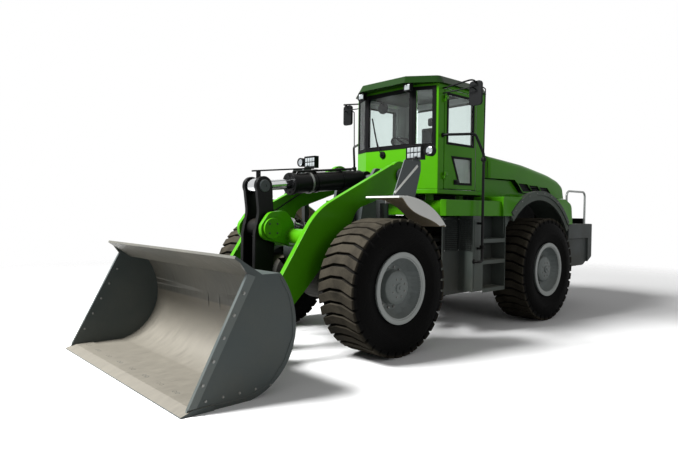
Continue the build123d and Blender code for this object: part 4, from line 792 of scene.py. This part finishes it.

# Roof: a pressed green cap that overhangs the windscreen, with a work lamp under each front corner.
# The lamps have black cases with clear ribbed lenses. The roof's paint is a much darker copy of the green:
# painted shade.
roof_shade_paint = paint("roof_shade_paint", srgb(14, 42, 4), 0.3, dust=0.03, coat=0.03, shine=0.1)
dress("cab_roof", 0.0, roof_shade_paint)
dress("roof_lamps", 0.004, plastic)
lens_glass = paint("lens_glass", srgb(150, 156, 158), 0.12, coat=0.5, metal=0.2, peel=0.0)
roof_lenses = []
for hand in HANDS:
    for rib in range(5):
        rib_y = 0.445 + (rib - 2) * 0.018
        roof_lenses.append(plate((0.008, 0.0165, 0.076), spot(0.602, hand * rib_y, 3.3475), 0.003))
settle(roof_lenses, "roof_lenses", "rear", lens_glass)

# Wiper: a motor on the panel below the windscreen with a sprung arm and a rubber blade.
# All of it is black.
WIPER_X = 0.488
WIPER_BLADE = [(-0.184, 2.585), (-0.2, 2.58), (-0.316, 3.015), (-0.3, 3.02)]
pivot = spot(WIPER_X - 0.008, -0.1, 2.47)
elbow = pivot + Vector((0.045, -0.03, 0.06))


def pipe(points, radius, bend):
    """A bent round bar: a curve with straight runs and round corners, made a mesh."""
    route = [points[0]]
    for before, corner, after in zip(points, points[1:], points[2:]):
        back = (before - corner).normalized()
        ahead = (after - corner).normalized()
        route += [corner + bend * back, corner, corner + bend * ahead]
    route.append(points[-1])
    pick()
    bpy.ops.curve.primitive_nurbs_path_add(location=(0, 0, 0))
    piece = bpy.context.object
    line = piece.data
    line.splines.clear()
    spline = line.splines.new("NURBS")
    spline.points.add(len(route) - 1)
    for point, at in zip(spline.points, route):
        point.co = (*at, 1.0)
    spline.order_u = 3
    spline.use_endpoint_u = True
    line.bevel_depth = radius
    line.bevel_resolution = 3
    line.resolution_u = 8
    line.use_fill_caps = True
    bpy.ops.object.convert(target="MESH")
    return bpy.context.object


wiper = [
    turned([(0, 0.05), (0.02, 0.05), (0.03, 0.04), (0.03, 0.018), (0.05, 0.016)], pivot, (1, 0, 0)),
    pipe([pivot + Vector((0.04, 0, 0)), elbow, spot(WIPER_X + 0.02, -0.25, 2.8)], 0.008, 0.02),
    cut_plate([spot(WIPER_X + 0.004, y, z) for y, z in WIPER_BLADE], (0.012, 0, 0)),
]
settle(wiper, "wiper", "rear", plastic)

# Mirrors: moulded heads on bent wire arms from the front pillars, with a second thin stay above each
# and a thin rod up from the handrail's clamp. Their glass looks backwards.
MIRROR_X = 0.100
STAY = [(0.24, 0.78, 3.27), (0.24, 0.9, 3.27), (0.215, 1.23, 3.29), (0.13, 1.23, 3.27)]
BRACE = [(-0.05, 1.25, 2.42), (-0.045, 1.262, 3.3), (0.11, 1.262, 3.33)]
WIRE_R = 0.008
dress("mirrors", 0.0, plastic)
mirror_glass = paint("mirror_glass", srgb(190, 196, 200), 0.05, metal=1.0, peel=0.0)
faces = []
stays = []
for hand in HANDS:
    faces.append(plate((0.006, 0.15, 0.27), spot(MIRROR_X, hand * 1.23, 3.22), 0.002))
    for wire, bend in ((STAY, 0.04), (BRACE, 0.03)):
        stays.append(pipe([spot(x, hand * y, z) for x, y, z in wire], WIRE_R, bend))
settle(faces, "mirror_faces", "rear", mirror_glass)
settle(stays, "mirror_stays", "rear", plastic)

# Handrails: bent steel tube, black beside the cab steps and bare grey on the counterweight.
# Clamps hold the long rails to the step case and to the cab's pillar.
rails = dress("handrails", 0.0, black_paint)
loop_paint = paint("loop_paint", srgb(150, 154, 152), 0.35, dust=0.1, metal=0.5)
repaint(rails, loop_paint, lambda c, n: c.x < HINGE_X - 2.5)
RAIL = (-0.05, 1.25)
FOOT_DISC = [(0, 0.032), (0.01, 0.032), (0.014, 0.028)]
clamps = []
for hand in HANDS:
    for clamp_z in (1.18, 2.36):
        clamps.append(plate((0.055, 0.055, 0.05), spot(RAIL[0], hand * RAIL[1], clamp_z), 0.008))
    for clamp_z in (1.16, 1.50):
        clamps.append(plate((0.03, 0.075, 0.03), spot(RAIL[0], hand * 1.208, clamp_z)))
    for x, y, z in ((0.235, 0.78, 2.7), (0.03, 1.17, 0.985)):
        clamps.append(turned(FOOT_DISC, spot(x, hand * y, z), (0, hand, 0)))
settle(clamps, "rail_clamps", "rear", plastic)

# Front fenders: curved guards over the front tyres on posts from the towers, pale grey outside.
# Dried mud covers the underside, and bolt heads hold the guard to its bracket.
GUARD_R = 1.04
GUARD_INNER = 0.84
guard_paint = paint("guard_paint", srgb(222, 223, 219), 0.45, dust=0.08)
mud = paint("dried_mud", srgb(158, 144, 122), 0.9, dust=0.3, peel=0.9)
guards = dress("front_fenders", 0.004, guard_paint)
front_centre = spot(FRONT_AXLE, 0, AXLE_H)


def below_guard(c, n):
    """True for the faces of a guard that look at the wheel's axle."""
    toward = front_centre - Vector((c.x, 0, c.z))
    return abs(c.y) > GUARD_INNER and toward.normalized().dot(n) > 0.6


repaint(guards, mud, below_guard)
repaint(guards, chassis_paint, lambda c, n: abs(c.y) < GUARD_INNER)
guard_bolts = []
for hand in HANDS:
    for turn in (96, 108, 120, 132):
        angle = math.radians(turn)
        out = Vector((math.cos(angle), 0, math.sin(angle)))
        ring = [front_centre + GUARD_R * out + Vector((0, hand * y, 0)) for y in (0.91, 1.33)]
        guard_bolts += bolt_heads(ring, out, 0.011)
settle(guard_bolts, "guard_bolts", "front", bolt_steel)

# Headlamps: a square lamp with bright segments and a round lamp on a folded stand on each fender.
# The stand is grey with one pale slanting stripe; lenses sit sunk in the black cases.
LENS_X = 1.105
STAND_TOP = 2.29
CHEEK_FACE = 1.07
STRIPE_FACE = 1.082
CHEEK = [(1.56, 1.815), (1.2, 1.7), (1.06, 2.15), (1.06, 2.27), (1.36, 2.27)]
STRIPE = [(1.55, 1.87), (1.52, 1.86), (1.11, 2.2), (1.13, 2.225)]
BOWL = [(-0.004, 0.053), (0.004, 0.05), (0.01, 0.036), (0.012, 0.012)]
lamps = dress("headlamps", 0.004, plastic)
stand_paint = paint("stand_paint", srgb(70, 76, 77), 0.45, dust=0.15)
repaint(lamps, stand_paint, lambda c, n: c.z < STAND_TOP)
segments = []
bowls = []
stripes = []
cheeks = []
for hand in HANDS:
    for row in range(2):
        for column in range(4):
            at = spot(LENS_X + 0.003, hand * (0.927 + 0.055 * column), 2.342 + 0.07 * row)
            segments.append(plate((0.01, 0.046, 0.058), at, 0.004))
    bowls.append(turned(BOWL, spot(LENS_X, hand * 1.243, 2.387), (1, 0, 0)))
    cheeks.append(cut_plate(on_side(CHEEK, hand * CHEEK_FACE), (0, hand * 0.012, 0)))
    stripes.append(cut_plate(on_side(STRIPE, hand * STRIPE_FACE), (0, hand * 0.003, 0)))
settle(segments, "lamp_segments", "front", lens_glass)
settle(bowls, "lamp_bowls", "front", mirror_glass)
settle(cheeks, "stand_cheeks", "front", stand_paint)
settle(stripes, "stand_stripes", "front", guard_paint)

# Boom: two arms cut from thick plate with a cross tube between them, in green gloss paint.
# Grease lines run along the inner faces, and the bucket ends carry bolted pin keepers.
dress("boom", 0.006, green_paint)
dress("crank_pin", 0.005, green_paint)
for node in ("bucket_pins", "link_pin"):
    dress(node, 0.005, frame_paint)
CRANK_PIN = (2.70, 1.44)
BUCKET_PIN = (3.04, 0.39)
CRANK_FACE = 0.293
KEEPER_FACE = 0.711
LINE_FACE = 0.539
GREASE_LINE = [(1.15, 2.1), (1.7, 1.86), (2.25, 1.55), (2.62, 1.0), (2.9, 0.6)]
crank_bolts = []
pin_bolts = []
lines = []
for hand in HANDS:
    crank_bolts += ring_bolts(spot(CRANK_PIN[0], hand * CRANK_FACE, CRANK_PIN[1]), 0.075, 4, hand, 0.01)
    pin_bolts += ring_bolts(spot(BUCKET_PIN[0], hand * KEEPER_FACE, BUCKET_PIN[1]), 0.065, 3, hand, 0.014)
    lines.append(pipe(on_side(GREASE_LINE, hand * LINE_FACE), 0.008, 0.06))
settle(crank_bolts, "crank_pin_bolts", "crank_pin", chassis_paint)
settle(pin_bolts, "bucket_pin_bolts", "bucket_pins", bolt_steel)
settle(lines, "grease_lines", "boom", plastic)

# Bell crank and link: twin black plates that turn on the boom's ears and pull the bucket by a short link.
# Round pin heads show at both ends of the crank.
TILT_EYE = (2.73, 1.93)
CRANK_EYE = (2.75, 0.58)
EYE_FACE = 0.15
EYE_HEAD = [(0, 0.072), (0.012, 0.072), (0.018, 0.064), (0.018, 0.02), (0.012, 0.018)]
dress("bell_crank", 0.006, black_paint)
dress("bucket_link", 0.005, black_paint)
pin_heads = []
for hand in HANDS:
    for at in on_side((TILT_EYE, CRANK_EYE), hand * EYE_FACE):
        pin_heads.append(turned(EYE_HEAD, at, (0, hand, 0)))
settle(pin_heads, "crank_eye_heads", "bell_crank", frame_paint)

# Tilt cylinder: a thick black barrel between the towers with a chrome rod to the crank's top.
# Two feed pipes lie on it in clamps, and a flat bar on the rod's eye shows the bucket's level.
TILT_BASE = (0.994, 2.092)
FEED_PIPE = [(0.1, 0.118), (0.1, 0.146), (0.665, 0.146), (0.68, 0.11)]
FEED_BAND = [(-0.018, 0.126), (-0.018, 0.134), (0.018, 0.134), (0.018, 0.126)]
CLAMP_RING = [(-0.011, 0.127), (-0.011, 0.139), (0.011, 0.139), (0.011, 0.127)]
LEVEL_BAR = [(0.5, 0.17), (1.03, 0.17), (1.03, 0.188), (0.5, 0.188)]
COLLAR = (0.7305, 0.1)
dress("tilt_barrel", 0.004, black_paint)
dress("tilt_rod", 0.003, rod_steel)


def by_tilt(share, lift, y):
    """A spot beside the tilt cylinder: a share of the way to its eye, lifted off its axis."""
    run = Vector((TILT_EYE[0] - TILT_BASE[0], 0, TILT_EYE[1] - TILT_BASE[1]))
    rise = Vector((-run.z, 0, run.x)).normalized()
    return spot(TILT_BASE[0], y, TILT_BASE[1]) + share * run + lift * rise


tilt_way = by_tilt(1, 0, 0) - by_tilt(0, 0, 0)
barrel_bits = []
for y in (0.045, -0.045):
    barrel_bits.append(pipe([by_tilt(share, lift, y) for share, lift in FEED_PIPE], 0.014, 0.03))
for share in (0.25, 0.5):
    barrel_bits.append(turned(FEED_BAND, by_tilt(share, 0, 0), tilt_way, 32))
    barrel_bits.append(plate((0.04, 0.14, 0.03), by_tilt(share, 0.148, 0)))
turns = [2 * math.pi * step / 8 for step in range(8)]
collar_spots = [by_tilt(COLLAR[0], COLLAR[1] * math.cos(t), COLLAR[1] * math.sin(t)) for t in turns]
barrel_bits += bolt_heads(collar_spots, tilt_way, 0.01)
settle(barrel_bits, "tilt_pipes", "tilt_barrel", black_paint)
clamp_ring = turned(CLAMP_RING, by_tilt(0.56, 0, 0), tilt_way, 32)
settle([clamp_ring], "tilt_clamp_ring", "tilt_barrel", bolt_steel)
level_bar = [
    cut_plate([by_tilt(share, lift, -0.015) for share, lift in LEVEL_BAR], (0, 0.03, 0)),
    plate((0.05, 0.03, 0.13), by_tilt(0.985, 0.11, 0)),
]
settle(level_bar, "level_bar", "tilt_rod", black_paint)

# Lift cylinders: black barrels on the towers with chrome rods to the bosses of the arms.
# A screwed gland ring closes each barrel.
LIFT_BASE = (0.76, 1.13)
LIFT_EYE = (1.95, 1.48)
LIFT_Y = 0.400
LIFT_GLAND = [(0, 0.08), (0.004, 0.086), (0.045, 0.086), (0.05, 0.078)]
dress("lift_barrels", 0.004, black_paint)
dress("lift_rods", 0.003, rod_steel)
lift_way = Vector((LIFT_EYE[0] - LIFT_BASE[0], 0, LIFT_EYE[1] - LIFT_BASE[1]))
glands = []
for hand in HANDS:
    seat = spot(LIFT_BASE[0], hand * LIFT_Y, LIFT_BASE[1]) + 0.8 * lift_way
    glands.append(turned(LIFT_GLAND, seat, lift_way, 32))
settle(glands, "lift_glands", "lift_barrels", black_paint)

# Bucket: a bent shell between two side plates, with a spill guard, wear strips and a cutting edge.
# Slate paint outside; loads have scoured the inside to pale dusty steel, scratched from lip to heel. A
# painted shadow darkens the back wall above a sharp line, and a pale painted highlight lies on the spill
# guard's top.
BUCKET_HALF = 1.457
SHADOW_LINE = 0.615
GUARD_LOW = 1.04
STRIP_STEPS = (0.12, 0.3, 0.48, 0.66, 0.84)
EDGE_X = 4.21
EDGE_TOP = 0.0455
EDGE_PLUG = [(-0.004, 0.021), (0.001, 0.021), (0.0015, 0.017), (-0.002, 0.012)]
WELD_FACE = 1.4455
WELD_LOW = [(4.1, 0.034), (3.8, 0.034), (3.56, 0.1), (3.4, 0.28)]
WELD_HIGH = [(3.3, 0.5), (3.305, 0.7), (3.35, 0.88), (3.45, 1.05)]
slate_paint = paint("slate_paint", srgb(70, 78, 78), 0.42, dust=0.16)
strip_steel = paint("strip_steel", srgb(92, 99, 98), 0.45, dust=0.2, metal=0.2)
bucket = dress("bucket", 0.0, slate_paint)
scoured_and_shadow, tree, shader = plain("scoured_steel_and_painted_shadow", {"Metallic": 0.15})
height = axes_of(tree, "Object")["Z"]
cloud = clouds(tree, 1.6)
scratch = clouds(tree, 9.0, (0.6, 9.0, 0.6))
steel = mixed(tree, scratch, srgb(94, 91, 84), srgb(126, 121, 109))
# Above a sharp line high on the back wall the inside turns patchily darker: a painted shadow.
shadow_height_share = ramped(tree, height, SHADOW_LINE, SHADOW_LINE + 0.02)
shadow_share = math_of(tree, "MULTIPLY", shadow_height_share, ramped(tree, cloud, 0.35, 0.65, 0.6, 0.95))
tree.links.new(mixed(tree, shadow_share, steel, srgb(74, 75, 70)), shader.inputs["Base Color"])
tree.links.new(ramped(tree, scratch, 0.3, 0.7, 0.42, 0.7), shader.inputs["Roughness"])
bumped(tree, shader, scratch, 0.15, 0.002)
inside = spot(3.85, 0, 0.55)


def scoured_face(c, n):
    """True for the shell's inner faces, the spill guard and the lip."""
    toward = Vector((inside.x - c.x, 0, inside.z - c.z))
    within = c.x > inside.x - 0.6 and toward.normalized().dot(n) > 0.25 and abs(c.y) < 1.42
    guard = c.z > GUARD_LOW and abs(n.y) < 0.5 and (n.x > 0.1 or c.x > inside.x - 0.2)
    return within or guard or (c.x > inside.x + 0.25 and n.z > 0.5 and c.z < 0.06)


repaint(bucket, scoured_and_shadow, scoured_face)
repaint(bucket, strip_steel, lambda c, n: abs(c.y) > BUCKET_HALF - 0.01 and c.z > 0.05)
# The spill guard's upward top faces take the pale ring grey: a painted highlight where the light falls on
# them.
repaint(bucket, ring_paint, lambda c, n: c.z > GUARD_LOW and n.z > 0.6 and c.x > inside.x - 0.3)
side_bolts = []
for hand in HANDS:
    ring = [spot(3.775 + s * 0.535, hand * BUCKET_HALF, 1.06 - s * 0.99) for s in STRIP_STEPS]
    side_bolts += bolt_heads(ring, (0, hand, 0), 0.014)
    inner = [spot(3.76 + s * 0.535, hand * 1.421, 1.02 - s * 0.96) for s in STRIP_STEPS]
    side_bolts += bolt_heads(inner, (0, -hand, 0), 0.012)
    low = [spot(3.55 + 0.16 * s, hand * 1.445, 0.09) for s in range(5)]
    side_bolts += bolt_heads(low, (0, hand, 0), 0.011)
settle(side_bolts, "side_plate_bolts", "bucket", bolt_steel)
plug_spots = []
for pair in range(9):
    for gap in (-0.03, 0.03):
        plug_spots.append(spot(EDGE_X, -1.28 + 0.32 * pair + gap, EDGE_TOP))
flush = turned(EDGE_PLUG, plug_spots[0], (0, 0, 1), 16)
settle(copied(flush, plug_spots), "edge_plugs", "bucket", frame_paint)
welds = [pipe(on_side(WELD_LOW + WELD_HIGH, hand * WELD_FACE), 0.007, 0.08) for hand in HANDS]
settle(welds, "side_welds", "bucket", slate_paint)

# Studio: a pale floor that fades into a white surround, so that the machine keeps its shadow.
# A broad lamp stands ahead and above, and a weak one fills the near side.
FLOOR_R = 60.0
FLOOR_FADE = (6.0, 13.0)
FLOOR_SEEN = [0.9, 0.9, 0.9, 1.0]
FLOOR_BOUNCE = [0.3, 0.3, 0.3, 1.0]
SKY_BOUNCE = 0.24
pick()
bpy.ops.mesh.primitive_circle_add(vertices=96, radius=FLOOR_R, fill_type="NGON", location=(0, 0, 0))
floor = bpy.context.object
floor.name = "studio_floor"
floor_paint, tree, shader = plain("studio_floor_paint", {"Roughness": 0.9, "Specular IOR Level": 0.0})


def seen_share(tree):
    """1 for rays that the camera, a reflection or glass sends, 0 for the rest."""
    ray = tree.nodes.new("ShaderNodeLightPath")
    direct = math_of(tree, "MAXIMUM", ray.outputs["Is Camera Ray"], ray.outputs["Is Glossy Ray"])
    return math_of(tree, "MAXIMUM", direct, ray.outputs["Is Transmission Ray"])


tree.links.new(mixed(tree, seen_share(tree), FLOOR_BOUNCE, FLOOR_SEEN), shader.inputs["Base Color"])
place = tree.nodes.new("ShaderNodeTexCoord")
reach = tree.nodes.new("ShaderNodeVectorMath")
reach.operation = "LENGTH"
tree.links.new(place.outputs["Object"], reach.inputs[0])
nothing = tree.nodes.new("ShaderNodeBsdfTransparent")
fade = tree.nodes.new("ShaderNodeMixShader")
tree.links.new(ramped(tree, reach.outputs["Value"], *FLOOR_FADE), fade.inputs["Fac"])
tree.links.new(shader.outputs["BSDF"], fade.inputs[1])
tree.links.new(nothing.outputs["BSDF"], fade.inputs[2])
tree.links.new(fade.outputs["Shader"], tree.nodes["Material Output"].inputs["Surface"])
floor.data.materials.append(floor_paint)
scene = bpy.context.scene
world = scene.world or bpy.data.worlds.new("surround")
scene.world = world
world.use_nodes = True
sky = world.node_tree
sky_shade = sky.nodes["Background"]
sky_shade.inputs["Color"].default_value = (1.0, 1.0, 1.0, 1.0)
sky.links.new(ramped(sky, seen_share(sky), 0.0, 1.0, SKY_BOUNCE, 1.0), sky_shade.inputs["Strength"])
KEY_LAMP = ("key_lamp", (9.0, -3.0, 10.0), (0.0, 0.0, 1.0), 4.0, 4300.0)
FILL_LAMP = ("fill_lamp", (0.0, 12.0, 6.0), (0.0, 0.0, 1.2), 6.0, 160.0)
for name, at, aim, size, power in (KEY_LAMP, FILL_LAMP):
    turn = (Vector(aim) - Vector(at)).to_track_quat("-Z", "Y").to_euler()
    bpy.ops.object.light_add(type="AREA", location=at, rotation=turn)
    light = bpy.context.object
    light.name = name
    light.data.size = size
    light.data.energy = power

# Camera: at a person's eye height ahead of the left wheels, with a fairly wide lens.
# Its place, turn and focal length were solved from points of the machine in the photo.
PHOTO_WIDTH = 678.0
FOCAL_PIXELS = 555.44
bpy.ops.object.camera_add(
    location=(6.1886, 5.4692, 1.6463),
    rotation=(math.radians(90 - 1.536), math.radians(-0.601), math.radians(227.626 - 90)),
)
camera = bpy.context.object
camera.data.sensor_width = 36.0
camera.data.lens = camera.data.sensor_width * FOCAL_PIXELS / PHOTO_WIDTH
scene.camera = camera
scene.view_settings.view_transform = "Standard"
